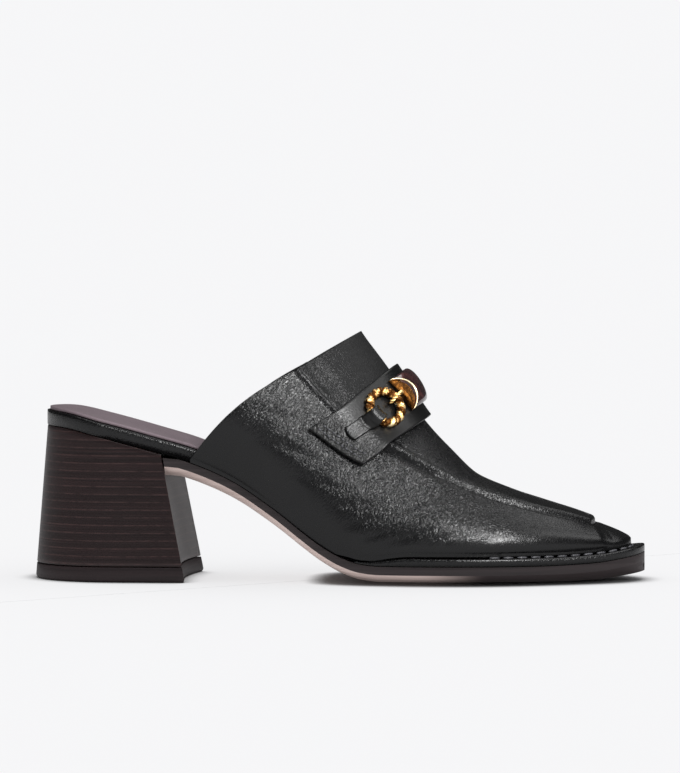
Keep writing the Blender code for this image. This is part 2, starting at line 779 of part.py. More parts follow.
def build_ring(side, collection, finish):
    """Rope ring lying on the strap."""
    bpy.ops.mesh.primitive_torus_add(
        major_radius=RING, minor_radius=ROPE, major_segments=28, minor_segments=8
    )
    ring = bpy.context.object
    ring.name = ring.data.name = "ring_outer" if side == OUTER else "ring_inner"
    ring.matrix_world = ring_matrix(side)
    ring.data.shade_smooth()
    ring.data.materials.append(finish)
    for owner in list(ring.users_collection):
        owner.objects.unlink(ring)
    collection.objects.link(ring)
    return ring


def build_tab(side, collection, finish):
    """Leather tab: flat on the strap, up over the ring's rope and down into the ring."""
    clear = ROPE + 2 * GAP
    frame = ring_matrix(side)
    rows = []
    for share in (-0.5, -0.17, 0.17, 0.5):
        offset = share * TAB_WIDTH
        rope = math.sqrt(RING ** 2 - offset ** 2)
        row = []
        for tail in (1, 0.75, 0.5, 0.25, 0.1):
            arc = side * (RING_FROM_CREST + rope + clear + TAB_TAIL * tail)
            row.append(on_strap(arc, HARDWARE_SHIFT - side * offset, 2 * GAP))
        for degrees in (10, 35, 60, 90, 120, 150, 180):
            angle = math.radians(degrees)
            reach, rise = math.cos(angle) * clear, math.sin(angle) * clear
            row.append(frame @ Vector((rope + reach, offset, rise)))
        rows.append(row)
    bm = bmesh.new()
    made = [[bm.verts.new(point) for point in row] for row in rows]
    for near, far in zip(made, made[1:]):
        for a in range(len(near) - 1):
            bm.faces.new((near[a], near[a + 1], far[a + 1], far[a]))
    bm.normal_update()
    bm.faces.ensure_lookup_table()
    if bm.faces[0].normal.dot(frame.to_3x3() @ Vector((0, 0, 1))) < 0:
        bmesh.ops.reverse_faces(bm, faces=bm.faces)
    tab = add_object("tab_outer" if side == OUTER else "tab_inner", bm, collection, finish)
    shell = tab.modifiers.new("thickness", "SOLIDIFY")
    shell.thickness = TAB_THICKNESS
    shell.offset = 1.0
    return tab


def build_link(side, collection, finish):
    """Arched link at the cap: over the ring's rope and down to the strap on both sides."""
    frame = ring_matrix(side)
    wire = LINK_DIAMETER / 2
    reach = ROPE + wire + 2 * GAP
    foot = wire + 2 * GAP - ROPE
    line = [(reach, foot)]
    line += [(reach * math.cos(a), reach * math.sin(a)) for a in np.linspace(0, math.pi, 9)]
    line += [(-reach, foot)]
    sections = []
    for number, (out, up) in enumerate(line):
        before, after = line[max(number - 1, 0)], line[min(number + 1, len(line) - 1)]
        along = Vector((after[0] - before[0], 0, after[1] - before[1])).normalized()
        aside = Vector((along.z, 0, -along.x))
        middle = Vector((-RING + out, 0, up))
        section = []
        for degrees in range(0, 360, 45):
            angle = math.radians(degrees)
            point = middle + (aside * math.cos(angle) + Vector((0, 1, 0)) * math.sin(angle)) * wire
            section.append(frame @ point)
        sections.append(section)
    return add_object("link_outer" if side == OUTER else "link_inner", loft(sections), collection, finish)


def domed_section(arc, proud):
    """Section across the strap: flat underneath and crowned on top."""
    half = BAR_WIDTH / 2 + proud
    points = [on_strap(arc, HARDWARE_SHIFT + half * share, GAP) for share in (1, 0.5, 0, -0.5, -1)]
    for degrees in range(170, 0, -20):
        angle = math.radians(degrees)
        height = GAP + BAR_EDGE + (BAR_CROWN + proud - BAR_EDGE) * math.sin(angle)
        points.append(on_strap(arc, HARDWARE_SHIFT + half * math.cos(angle), height))
    return points


def build_bar(collection, finish):
    arcs = np.linspace(-BAR_HALF_LENGTH, BAR_HALF_LENGTH, 9)
    return add_object("bar", loft([domed_section(arc, 0) for arc in arcs]), collection, finish)


def build_cap(side, collection, finish):
    """Metal cap on the bar's end, with a rim that stands a little proud."""
    start = BAR_HALF_LENGTH + GAP
    steps = ((0, CAP_PROUD), (0.4, CAP_PROUD), (0.55, 0), (1.0, -CAP_FALL))
    sections = [domed_section(side * (start + CAP_LENGTH * s), proud) for s, proud in steps]
    name = "bar_cap_outer" if side == OUTER else "bar_cap_inner"
    return add_object(name, loft(sections), collection, finish)


def main():
    clear_scene()
    shoe = new_collection("heeled_mule")
    cutters = new_collection("cutters")
    leather = material("black_leather", (0.012, 0.012, 0.013), 0.42)
    rand = material("rand_leather", (0.010, 0.010, 0.011), 0.40)
    sole = material("sole_leather", (0.17, 0.12, 0.11), 0.5)
    stack = material("stacked_leather", (0.045, 0.026, 0.026), 0.4)
    rubber = material("top_piece_rubber", (0.02, 0.017, 0.017), 0.6)
    sock = material("sock_leather", (0.20, 0.13, 0.14), 0.55)
    gold = material("antique_gold", (0.60, 0.40, 0.16), 0.28, 1.0)
    horn = material("tortoise_resin", (0.07, 0.03, 0.03), 0.2)
    build_outsole(shoe, sole)
    build_heel(shoe, cutters, stack)
    build_top_piece(shoe, rubber)
    build_insole(shoe, rand)
    build_sock(shoe, sock)
    build_upper(shoe, leather)
    build_welt(shoe, rand)
    build_strap(shoe, leather)
    for side in (OUTER, INNER):
        build_ring(side, shoe, gold)
        build_tab(side, shoe, leather)
        build_link(side, shoe, gold)
        build_cap(side, shoe, gold)
    build_bar(shoe, horn)


main()
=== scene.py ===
# %% [markdown]
# # A heeled mule, dressed from its construction model
# The construction model is a set of plain solids in metres: toe along +X, outer side -Y, floor
# at Z = 0. It is loaded as a fixed frame, and each cell below makes one piece or one finish. The
# dressed shoe has to stay as large as they are.

import json
import math
from bisect import bisect_right
from collections import namedtuple
from functools import lru_cache

import bmesh
import bpy
import numpy as np
from mathutils import Matrix, Vector

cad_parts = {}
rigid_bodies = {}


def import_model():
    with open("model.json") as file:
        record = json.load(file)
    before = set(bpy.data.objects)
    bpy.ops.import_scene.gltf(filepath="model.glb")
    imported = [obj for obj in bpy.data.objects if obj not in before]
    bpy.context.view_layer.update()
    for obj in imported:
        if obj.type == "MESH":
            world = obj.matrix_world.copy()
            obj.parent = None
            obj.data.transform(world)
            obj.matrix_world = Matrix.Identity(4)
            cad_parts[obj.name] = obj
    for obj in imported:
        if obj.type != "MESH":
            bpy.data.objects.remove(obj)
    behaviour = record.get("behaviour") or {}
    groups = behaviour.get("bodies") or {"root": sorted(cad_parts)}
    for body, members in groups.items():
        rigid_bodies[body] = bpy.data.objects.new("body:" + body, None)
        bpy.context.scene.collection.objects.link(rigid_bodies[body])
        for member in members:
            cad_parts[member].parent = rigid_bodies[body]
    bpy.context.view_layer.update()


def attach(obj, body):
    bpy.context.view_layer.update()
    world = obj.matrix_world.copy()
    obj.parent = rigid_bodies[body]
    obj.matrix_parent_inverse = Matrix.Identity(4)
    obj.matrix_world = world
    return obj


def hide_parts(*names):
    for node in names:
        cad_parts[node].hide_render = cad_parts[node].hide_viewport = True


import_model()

# %% [markdown]
# ## Camera
# The shoe was photographed from its outer side, a little above the floor, through a long lens.
# A long lens far away keeps the toe and the heel the same size, so the camera stands 3 m off.
# Its direction is given as a turn round the shoe and a height above the floor.

# %% Camera
AIM = Vector((0, 0, 0.0787))
CAMERA_TURN = math.radians(3.8)
CAMERA_RISE = math.radians(3.2)
CAMERA_DISTANCE = 3.0
LENS_MM = 340.9

camera = bpy.data.objects.new("camera", bpy.data.cameras.new("camera"))
bpy.context.scene.collection.objects.link(camera)
back = Vector((
    math.sin(CAMERA_TURN) * math.cos(CAMERA_RISE),
    -math.cos(CAMERA_TURN) * math.cos(CAMERA_RISE),
    math.sin(CAMERA_RISE),
))
camera.location = AIM + back * CAMERA_DISTANCE
camera.rotation_euler = back.to_track_quat("Z", "Y").to_euler()
camera.data.lens = LENS_MM
camera.data.clip_end = 2000
bpy.context.scene.camera = camera
print("camera at", tuple(round(c, 3) for c in camera.location))

# %% [markdown]
# ## Sizes
# A shoe is drawn from a few sizes of its last: length, ball width, heel height and the rise of
# the vamp. Every other size is a thickness of leather or a share of these.

# %% Sizes in metres
GAP = 0.0003
LENGTH = 0.2505
BALL_WIDTH = 0.0820
HEEL_HEIGHT = 0.0632
VAMP_RISE = 0.0905
SOLE_SIDE = 0.0034
SOLE_BEVEL = 0.0018
SOLE_BEVEL_IN = 0.0026
TREAD_ROUND = 0.0026
TOE_SPRING = 0.0040
TREAD_TOP = TREAD_ROUND + SOLE_BEVEL + SOLE_SIDE
HEEL_FLOOR_WIDTH = 0.0606
HEEL_FLOOR_LENGTH = 0.0640
HEEL_SEAT_WIDTH = 0.0520
HEEL_BACK_LEAN = 0.0051
HEEL_BREAST_LEAN = 0.0122
HEEL_BREAST_HOLLOW = 0.0030
HEEL_BREAST_SKEW = 0.0028
TOP_PIECE = 0.0062
INSOLE_SEAT = 0.0058
INSOLE_FORE = 0.0032
SEAT_SETBACK = 0.0046
SOCK_LINING = 0.0012
SOCK_INSET = 0.0012
SOCK_TOE_INSET = 0.0036
UPPER_WALL = 0.0018
APRON_RISE = 0.0015
FOOT_STRIP = 0.0018
WELT_THICKNESS = 0.0030
WELT_END = 0.0006
WELT_CLEARANCE = 0.0008
WAIST_MARGIN = 0.0004
TOE_MARGIN = 0.0058
STRAP_WIDTH = 0.0252
STRAP_THICKNESS = 0.0018
STRAP_REACH = 0.0470
STRAP_END_SKEW = 0.0070
STRAP_CLEARANCE = 0.0007
STRAP_REST = 0.0002
STRAP_RUN_DOWN = 0.0240
SKIN_STEP = 0.0015
RING_FROM_CREST = 0.0225
HARDWARE_SHIFT = -0.0018
BAR_WIDTH = 0.0142
BAR_CROWN = 0.0038
BAR_EDGE = 0.0008
BAR_HALF_LENGTH = 0.0098
OUTER, INNER = -1, 1

# %% [markdown]
# ## Tables of the last
# A last maker keeps the shape as sections. Each row here is one section: its station along the
# shoe and its heights or half widths as shares of the sizes above.

# %% Sole line: station, arch as a share of the heel's height, spring as a share of its size
Profile = namedtuple("Profile", "station arch spring")
PROFILE = [Profile(*row) for row in (
    (0.000, 1.000, 0), (0.050, 0.988, 0), (0.120, 0.916, 0), (0.210, 0.806, 0),
    (0.262, 0.738, 0), (0.312, 0.646, 0), (0.345, 0.567, 0), (0.377, 0.473, 0),
    (0.410, 0.367, 0), (0.443, 0.251, 0), (0.476, 0.144, 0), (0.510, 0.060, 0),
    (0.542, 0.014, 0), (0.575, 0.000, 0), (0.850, 0.000, 0), (0.928, 0.000, 0.20),
    (0.960, 0.000, 0.47), (0.992, 0.000, 0.85), (1.000, 0.000, 1.00),
)]

# %% Bottom of the last: half widths of both sides and the sole's margin
Last = namedtuple("Last", "station outer inner margin")
LAST = [Last(*row) for row in (
    (0.120, 0.317, 0.311, 0.00), (0.210, 0.309, 0.296, 0.00), (0.260, 0.300, 0.278, 0.00),
    (0.310, 0.296, 0.261, 0.00), (0.380, 0.321, 0.254, 0.02), (0.445, 0.361, 0.278, 0.05),
    (0.510, 0.409, 0.334, 0.10), (0.575, 0.444, 0.390, 0.16), (0.640, 0.462, 0.437, 0.24),
    (0.690, 0.459, 0.457, 0.31), (0.750, 0.429, 0.451, 0.40), (0.810, 0.366, 0.399, 0.52),
    (0.870, 0.276, 0.310, 0.66), (0.923, 0.186, 0.217, 0.82), (1.000, 0.000, 0.000, 1.00),
)]
SEAT_STATION, TOE_STATION = 0.120, 0.923
TOE_RUN, TOE_SQUARENESS, TOE_BULGE = 0.5, 0.60, 0.012

# %% Ribs of the upper from the topline to the toe: foot, apron seam, crest, bulge and bow
Rib = namedtuple("Rib", "foot seam seam_outer seam_inner seam_rise crest crest_rise bulge bow")
RIBS = [Rib(*row) for row in (
    (0.263, 0.436, 0.292, 0.292, 0.705, 0.526, 1.000, 0.096, 0.045),
    (0.340, 0.501, 0.300, 0.300, 0.636, 0.568, 0.861, 0.092, 0.016),
    (0.432, 0.579, 0.318, 0.318, 0.516, 0.628, 0.612, 0.080, 0.000),
    (0.520, 0.637, 0.332, 0.336, 0.430, 0.673, 0.475, 0.066, 0.000),
    (0.620, 0.698, 0.328, 0.342, 0.348, 0.722, 0.349, 0.056, 0.000),
    (0.720, 0.762, 0.294, 0.316, 0.278, 0.775, 0.286, 0.048, 0.000),
    (0.811, 0.826, 0.237, 0.262, 0.227, 0.831, 0.231, 0.042, 0.000),
    (0.879, 0.878, 0.165, 0.183, 0.188, 0.875, 0.193, 0.036, 0.000),
    (TOE_STATION, 0.910, 0.112, 0.142, 0.155, 0.917, 0.150, 0.028, 0.000),
)]
LAST_RIB = len(RIBS) - 1
ARCH_POWER = 2.2
STRAP_RIB = 1.54
print("sections of the last:", len(LAST), "ribs:", len(RIBS))

# %% [markdown]
# ## Smooth curves through the tables
# Between two sections the last is faired, so nothing steps. A monotone cubic goes through each
# column and never overshoots it, as a batten held by pins does.

# %% Curves
def curve_through(stations, values):
    """The monotone cubic through a table's stations and values, as a function of place."""
    x = [float(station) for station in stations]
    y = [float(value) for value in values]
    step = [after - before for before, after in zip(x, x[1:])]
    slope = [(y[i + 1] - y[i]) / step[i] for i in range(len(step))]
    tangent = [slope[0]]
    for i in range(1, len(step)):
        behind, ahead = slope[i - 1], slope[i]
        if behind * ahead <= 0:
            tangent.append(0.0)
            continue
        w1, w2 = 2 * step[i] + step[i - 1], step[i] + 2 * step[i - 1]
        tangent.append((w1 + w2) / (w1 / behind + w2 / ahead))
    tangent.append(slope[-1])

    def value(place):
        place = min(max(place, x[0]), x[-1])
        i = min(bisect_right(x, place) - 1, len(step) - 1)
        t = (place - x[i]) / step[i]
        rest = y[i] * (1 + 2 * t) * (1 - t) ** 2 + y[i + 1] * t * t * (3 - 2 * t)
        bend = step[i] * (tangent[i] * t * (1 - t) ** 2 - tangent[i + 1] * t * t * (1 - t))
        return rest + bend

    return value


def table_curves(table, stations=None):
    """One curve for each column of a table, over its stations or else over its rows."""
    places = stations or range(len(table))
    return {
        name: curve_through(places, [getattr(row, name) for row in table])
        for name in table[0]._fields
    }


def at_station(share):
    return (share - 0.5) * LENGTH


def station_of(x):
    return x / LENGTH + 0.5


def ease(value):
    """A smooth step from 0 to 1."""
    value = min(max(value, 0.0), 1.0)
    return value * value * (3 - 2 * value)


PROFILE_CURVES = table_curves(PROFILE, [row.station for row in PROFILE])
LAST_CURVES = table_curves(LAST, [row.station for row in LAST])
RIB_CURVES = table_curves(RIBS)

# %% [markdown]
# ## The last's bottom
# The edge of the insole is the line that everything hangs on: the sole stands beyond it, the
# welt follows it and the wall of the upper rises from it. It is a round seat, two swinging
# sides and a squared toe, so three short functions give it.

# %% Sole line and edge of the last
def sole_top(x):
    """Height of the outsole's top."""
    station = station_of(x)
    arch, spring = PROFILE_CURVES["arch"](station), PROFILE_CURVES["spring"](station)
    return TREAD_TOP + arch * (HEEL_HEIGHT - TREAD_TOP) + spring * TOE_SPRING


def margin(x):
    """How far the outsole stands beyond the upper."""
    return WAIST_MARGIN + LAST_CURVES["margin"](station_of(x)) * (TOE_MARGIN - WAIST_MARGIN)


def last_side(side, x):
    name = "outer" if side == OUTER else "inner"
    return side * BALL_WIDTH * LAST_CURVES[name](station_of(x))


SEAT_X = at_station(SEAT_STATION)
SEAT_BACK_X = at_station(0) + SEAT_SETBACK
TOE_X = at_station(TOE_STATION)
LAST_TIP_X = at_station(1) - TOE_MARGIN - UPPER_WALL


def seat_edge(side, degrees):
    angle = math.radians(degrees)
    x = SEAT_X - (SEAT_X - SEAT_BACK_X) * math.cos(angle)
    return x, last_side(side, SEAT_X) * math.sin(angle)


def toe_edge(share):
    """Point on the squared toe, -1 where the outer side runs in, 0 in the middle, 1 inside."""
    side = OUTER if share < 0 else INNER
    t = 1 - abs(share)
    middle = (last_side(OUTER, TOE_X) + last_side(INNER, TOE_X)) / 2
    step = (LAST_TIP_X - TOE_X) * TOE_RUN
    start = (TOE_X, last_side(side, TOE_X))
    run_in = (TOE_X + step, last_side(side, TOE_X + step))
    front = (LAST_TIP_X, middle + (start[1] - middle) * TOE_SQUARENESS)
    tip = (LAST_TIP_X, middle)
    shares = ((1 - t) ** 3, 3 * t * (1 - t) ** 2, 3 * t * t * (1 - t), t ** 3)
    return tuple(sum(w * p[i] for w, p in zip(shares, (start, run_in, front, tip))) for i in (0, 1))


def side_of_last(side, start):
    """Edge of the last on one side, from the back to the toe's middle."""
    points = []
    if start <= SEAT_X:
        points += [seat_edge(side, degrees) for degrees in np.linspace(3, 87, 20)]
    points += [(x, last_side(side, x)) for x in np.linspace(start, TOE_X, 90)]
    return points + [toe_edge(side * share) for share in np.linspace(0.97, 0.02, 24)]


def closed_outline(start=SEAT_X):
    """The last's edge, outer side first, and its outward directions in plan."""
    loop = np.array(side_of_last(OUTER, start) + side_of_last(INNER, start)[::-1])
    along = np.roll(loop, -1, axis=0) - np.roll(loop, 1, axis=0)
    if start > SEAT_X:
        along[0] = loop[1] - loop[0]
        along[-1] = loop[-1] - loop[-2]
    along /= np.linalg.norm(along, axis=1)[:, None]
    return loop, np.stack([along[:, 1], -along[:, 0]], axis=1)


def rungs(loop):
    """Pairs of facing points of a closed outline, from the back to the toe."""
    half = len(loop) // 2
    return list(zip(loop[:half], loop[::-1][:half]))


def across(pair, share, inset=0.0):
    """Point in plan between the two ends of a rung, from a little inside them."""
    outer, inner = np.asarray(pair[0]), np.asarray(pair[1])
    length = np.linalg.norm(inner - outer)
    return outer + (inner - outer) * (inset / length + share * (1 - 2 * inset / length))


print("last:", round(1000 * (LAST_TIP_X - SEAT_BACK_X), 1), "mm long")

# %% [markdown]
# ## Two helpers for making pieces
# Leather is cut flat and then pulled into place, and the first helper does the same: a flat
# create_grid sheet is made, and each of its vertices is pulled to its place on the shoe. A
# closed sheet is a tube, whose two long edges are merged. The second helper turns the finished
# bmesh into an object that rides on the frame and stands for its solids.

# %% Helpers
def skin(bm, rows, closed=False, capped=False):
    """A create_grid sheet pulled onto rows of points; closed joins the ends of each row."""
    rows = [list(row) + [row[0]] * closed for row in rows]
    wide, long = len(rows[0]) - 1, len(rows) - 1
    made = bmesh.ops.create_grid(bm, x_segments=wide, y_segments=long, size=1)["verts"]
    for vert in made:
        column, row = round((vert.co.x + 1) / 2 * wide), round((vert.co.y + 1) / 2 * long)
        vert.co = rows[row][column]
    if closed:
        bmesh.ops.remove_doubles(bm, verts=made, dist=1e-6)
    made = [vert for vert in made if vert.is_valid]
    if capped:
        edges = [edge for edge in bm.edges if edge.is_boundary]
        bmesh.ops.holes_fill(bm, edges=edges, sides=0)
    return made


def finished(name, bm, finish, nodes=(), smooth=True, keep_facing=False):
    """The bmesh as a riding piece, which replaces the named solids of the frame."""
    if not keep_facing:
        bmesh.ops.recalc_face_normals(bm, faces=bm.faces)
    mesh = bpy.data.meshes.new(name)
    bm.to_mesh(mesh)
    bm.free()
    piece = bpy.data.objects.new(name, mesh)
    bpy.context.scene.collection.objects.link(piece)
    for one in finish if isinstance(finish, (list, tuple)) else [finish]:
        mesh.materials.append(one)
    if smooth:
        mesh.shade_smooth()
    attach(piece, "root")
    if nodes:
        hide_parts(*nodes)
    print(name, "faces:", len(mesh.polygons))
    return piece


def round_edges(piece, width, segments=3, angle=35):
    """A Bevel modifier on the piece's sharp edges."""
    bevel = piece.modifiers.new("rounded edges", "BEVEL")
    bevel.width = width
    bevel.segments = segments
    bevel.limit_method = "ANGLE"
    bevel.angle_limit = math.radians(angle)
    bevel.harden_normals = False


def thicken(piece, thickness, group=""):
    """A Solidify modifier that builds outwards from the piece's inner face."""
    shell = piece.modifiers.new("thickness", "SOLIDIFY")
    shell.thickness = thickness
    shell.offset = 1.0
    shell.vertex_group = group


# %% [markdown]
# ## Colours and shader nodes
# Colours are written as sRGB hex values, as a paint chart gives them, and turned to the linear
# values that shaders work in. One helper adds a node with its settings and links.

# %% Shader helpers
def linear(hex_colour):
    """Linear RGBA of an sRGB hex colour."""
    values = [int(hex_colour[i:i + 2], 16) / 255 for i in (1, 3, 5)]
    values = [v / 12.92 if v <= 0.04045 else ((v + 0.055) / 1.055) ** 2.4 for v in values]
    return (*values, 1.0)


def add_node(tree, kind, links=None, inputs=None, **settings):
    """A shader node with its settings, its input values and its links."""
    node = tree.nodes.new(kind)
    for name, value in settings.items():
        setattr(node, name, value)
    for name, value in (inputs or {}).items():
        node.inputs[name].default_value = value
    for name, source in (links or {}).items():
        tree.links.new(source, node.inputs[name])
    return node


def new_finish(name, **shader_values):
    """A material, its node tree, its shader and its Object coordinates."""
    made = bpy.data.materials.new(name)
    made.use_nodes = True
    tree = made.node_tree
    shader = tree.nodes["Principled BSDF"]
    for socket, value in shader_values.items():
        shader.inputs[socket.replace("_", " ").title().replace("Ior", "IOR")].default_value = value
    place = add_node(tree, "ShaderNodeTexCoord").outputs["Object"]
    return made, tree, shader, place


def ramp(tree, source, stops):
    """A Color Ramp with (position, hex colour) stops."""
    node = add_node(tree, "ShaderNodeValToRGB", {"Fac": source})
    elements = node.color_ramp.elements
    while len(elements) < len(stops):
        elements.new(0.5)
    for element, (position, colour) in zip(elements, stops):
        element.position = position
        element.color = linear(colour)
    return node.outputs["Color"]


# %% [markdown]
# ## Tumbled calf leather
# The upper is black calf leather, drum-tumbled so that its grain breaks into fine crinkles,
# then polished. Close up it is a net of small cells 1 to 2 mm across, pulled longer where the
# leather was stretched over the last, under a thin clear finish that catches the light on each
# ridge. A stretched Voronoi net gives the cells, two noises break them up, and a coat gives the
# finish. The attribute named crinkle, painted on each piece, fades the net out where lasting
# pulled the leather smooth.

# %% Leather finishes
CELL_MM = 0.95
PORE_MM = 0.35


def calf_leather(name, colour, crinkle, roughness, coat, attribute=None, turn=38.0):
    made, tree, shader, place = new_finish(
        name, roughness=roughness, ior=1.45, coat_weight=coat, coat_roughness=0.14, coat_ior=1.5
    )
    warp = add_node(
        tree, "ShaderNodeTexNoise", {"Vector": place},
        {"Scale": 130.0, "Detail": 3.0, "Roughness": 0.6},
    )
    shift = add_node(
        tree, "ShaderNodeVectorMath", {0: warp.outputs["Color"]}, operation="MULTIPLY_ADD"
    )
    shift.inputs[1].default_value = (0.004, 0.004, 0.004)
    tree.links.new(place, shift.inputs[2])
    pulled = add_node(
        tree, "ShaderNodeMapping", {"Vector": shift.outputs[0]},
        {"Rotation": (0.0, -math.radians(turn), 0.0), "Scale": (2.6, 1.0, 0.85)},
        vector_type="TEXTURE",
    )
    net = add_node(
        tree, "ShaderNodeTexVoronoi", {"Vector": pulled.outputs[0]},
        {"Scale": 1000 / CELL_MM, "Randomness": 1.0}, feature="DISTANCE_TO_EDGE",
    )
    cells = add_node(
        tree, "ShaderNodeMapRange", {"Value": net.outputs["Distance"]},
        {"From Max": 0.22}, interpolation_type="SMOOTHSTEP",
    )
    folds = add_node(
        tree, "ShaderNodeTexNoise", {"Vector": pulled.outputs[0]},
        {"Scale": 1450.0, "Detail": 3.0, "Roughness": 0.55, "Distortion": 0.1},
    )
    pores = add_node(
        tree, "ShaderNodeTexNoise", {"Vector": place},
        {"Scale": 1000 / PORE_MM, "Detail": 2.0, "Roughness": 0.5},
    )
    height = add_node(
        tree, "ShaderNodeMath", {0: folds.outputs["Fac"], 1: cells.outputs[0]},
        operation="MULTIPLY_ADD",
    )
    tree.links.new(folds.outputs["Fac"], height.inputs[2])
    strength = height.outputs[0]
    if attribute:
        painted = add_node(tree, "ShaderNodeAttribute", attribute_name=attribute)
        strength = add_node(
            tree, "ShaderNodeMath", {0: height.outputs[0], 1: painted.outputs["Fac"]},
            operation="MULTIPLY",
        ).outputs[0]
    creased = add_node(
        tree, "ShaderNodeBump", {"Height": strength},
        {"Strength": 1.0, "Distance": crinkle},
    )
    grained = add_node(
        tree, "ShaderNodeBump",
        {"Height": pores.outputs["Fac"], "Normal": creased.outputs["Normal"]},
        {"Strength": 0.5, "Distance": 0.00006},
    )
    patches = add_node(
        tree, "ShaderNodeTexNoise", {"Vector": place}, {"Scale": 55.0, "Detail": 2.0}
    )
    tone = add_node(
        tree, "ShaderNodeMix", {"Factor": patches.outputs["Fac"]},
        data_type="RGBA",
    )
    tone.inputs[6].default_value = linear(colour[0])
    tone.inputs[7].default_value = linear(colour[1])
    tree.links.new(tone.outputs[2], shader.inputs["Base Color"])
    gloss = add_node(
        tree, "ShaderNodeMapRange", {"Value": folds.outputs["Fac"]},
        {"To Min": roughness - 0.08, "To Max": roughness + 0.12},
    )
    matt = add_node(tree, "ShaderNodeAttribute", attribute_name="matt")
    rough = add_node(
        tree, "ShaderNodeMath", {0: matt.outputs["Fac"], 2: gloss.outputs[0]},
        {1: 0.45}, operation="MULTIPLY_ADD",
    )
    tree.links.new(rough.outputs[0], shader.inputs["Roughness"])
    tree.links.new(grained.outputs["Normal"], shader.inputs["Normal"])
    tree.links.new(grained.outputs["Normal"], shader.inputs["Coat Normal"])
    return made


UPPER_LEATHER = calf_leather(
    "tumbled_calf", ("#040405", "#0a0a0b"), 0.00017, 0.26, 0.18, attribute="crinkle", turn=50.0
)
STRAP_LEATHER = calf_leather(
    "strap_calf", ("#050505", "#0b0b0b"), 0.00016, 0.33, 0.14, attribute="crinkle", turn=60.0
)
RAND_LEATHER = calf_leather("polished_calf", ("#050506", "#0a0a0b"), 0.00006, 0.26, 0.2)
LINING = calf_leather("pigskin_lining", ("#574b50", "#665a5f"), 0.00005, 0.60, 0.0)
print("leathers:", [one.name for one in (UPPER_LEATHER, STRAP_LEATHER, RAND_LEATHER, LINING)])

# %% [markdown]
# ## Sole leather and stacked leather
# A leather sole is a thick, dense bend, whose edge is sanded, stained and waxed, so it shows
# fine lines along its length. Below the stain the trimmed bevel is left pale. The heel is
# stacked from lifts about 3 mm thick, and each joint shows as a thin lighter line, over a
# stained and brushed face with fainter lines between.

# %% Sole and heel finishes
LIFT_MM = 3.15


def edge_leather(name, dark, light, roughness, coat, stain=None):
    made, tree, shader, place = new_finish(
        name, roughness=roughness, ior=1.5, coat_weight=coat, coat_roughness=0.25
    )
    layers = add_node(
        tree, "ShaderNodeMapping", {"Vector": place}, {"Scale": (18.0, 18.0, 900.0)}
    )
    fibres = add_node(
        tree, "ShaderNodeTexNoise", {"Vector": layers.outputs[0]},
        {"Scale": 1.0, "Detail": 4.0, "Roughness": 0.6},
    )
    colour = ramp(tree, fibres.outputs["Fac"], ((0.3, dark), (0.7, light)))
    if stain:
        painted = add_node(tree, "ShaderNodeAttribute", attribute_name="stain")
        stained = add_node(
            tree, "ShaderNodeMix", {"Factor": painted.outputs["Fac"], 6: colour}, data_type="RGBA"
        )
        stained.inputs[7].default_value = linear(stain)
        colour = stained.outputs[2]
    tree.links.new(colour, shader.inputs["Base Color"])
    bump = add_node(
        tree, "ShaderNodeBump", {"Height": fibres.outputs["Fac"]},
        {"Strength": 0.5, "Distance": 0.0001},
    )
    tree.links.new(bump.outputs["Normal"], shader.inputs["Normal"])
    return made


def stacked_leather():
    made, tree, shader, place = new_finish(
        "stacked_leather", roughness=0.45, ior=1.5, coat_weight=0.2, coat_roughness=0.25
    )
    wander = add_node(
        tree, "ShaderNodeTexNoise", {"Vector": place}, {"Scale": 22.0, "Detail": 1.0}
    )
    height = add_node(tree, "ShaderNodeSeparateXYZ", {"Vector": place}).outputs["Z"]
    lifted = add_node(
        tree, "ShaderNodeMath", {0: wander.outputs["Fac"], 2: height},
        {1: 0.0007}, operation="MULTIPLY_ADD",
    )
    turns = add_node(
        tree, "ShaderNodeMath", {0: lifted.outputs[0]}, {1: 1000 / LIFT_MM},
        operation="MULTIPLY",
    )
    within = add_node(tree, "ShaderNodeMath", {0: turns.outputs[0]}, operation="FRACT")
    joint = add_node(
        tree, "ShaderNodeMath", {0: within.outputs[0]}, {1: 0.5}, operation="PINGPONG"
    )
    joint = add_node(
        tree, "ShaderNodeMapRange", {"Value": joint.outputs[0]},
        {"From Min": 0.36, "From Max": 0.5}, interpolation_type="SMOOTHSTEP",
    )
    layers = add_node(
        tree, "ShaderNodeMapping", {"Vector": place}, {"Scale": (14.0, 14.0, 1500.0)}
    )
    fibres = add_node(
        tree, "ShaderNodeTexNoise", {"Vector": layers.outputs[0]},
        {"Scale": 1.0, "Detail": 5.0, "Roughness": 0.65},
    )
    broken = add_node(
        tree, "ShaderNodeTexNoise", {"Vector": place}, {"Scale": 240.0, "Detail": 3.0}
    )
    seen = add_node(
        tree, "ShaderNodeMapRange", {"Value": broken.outputs["Fac"]},
        {"From Min": 0.3, "From Max": 0.6, "To Min": 0.05, "To Max": 0.7},
    )
    lines = add_node(
        tree, "ShaderNodeMath", {0: joint.outputs[0], 1: seen.outputs[0]}, operation="MULTIPLY"
    )
    face = ramp(tree, fibres.outputs["Fac"], ((0.25, "#190a0b"), (0.55, "#251112"), (0.8, "#351c1c")))
    tone = add_node(
        tree, "ShaderNodeMix", {"Factor": lines.outputs[0], 6: face}, data_type="RGBA"
    )
    tone.inputs[7].default_value = linear("#472e2c")
    tree.links.new(tone.outputs[2], shader.inputs["Base Color"])
    bump = add_node(
        tree, "ShaderNodeBump", {"Height": fibres.outputs["Fac"]},
        {"Strength": 0.6, "Distance": 0.00012},
    )
    tree.links.new(bump.outputs["Normal"], shader.inputs["Normal"])
    return made


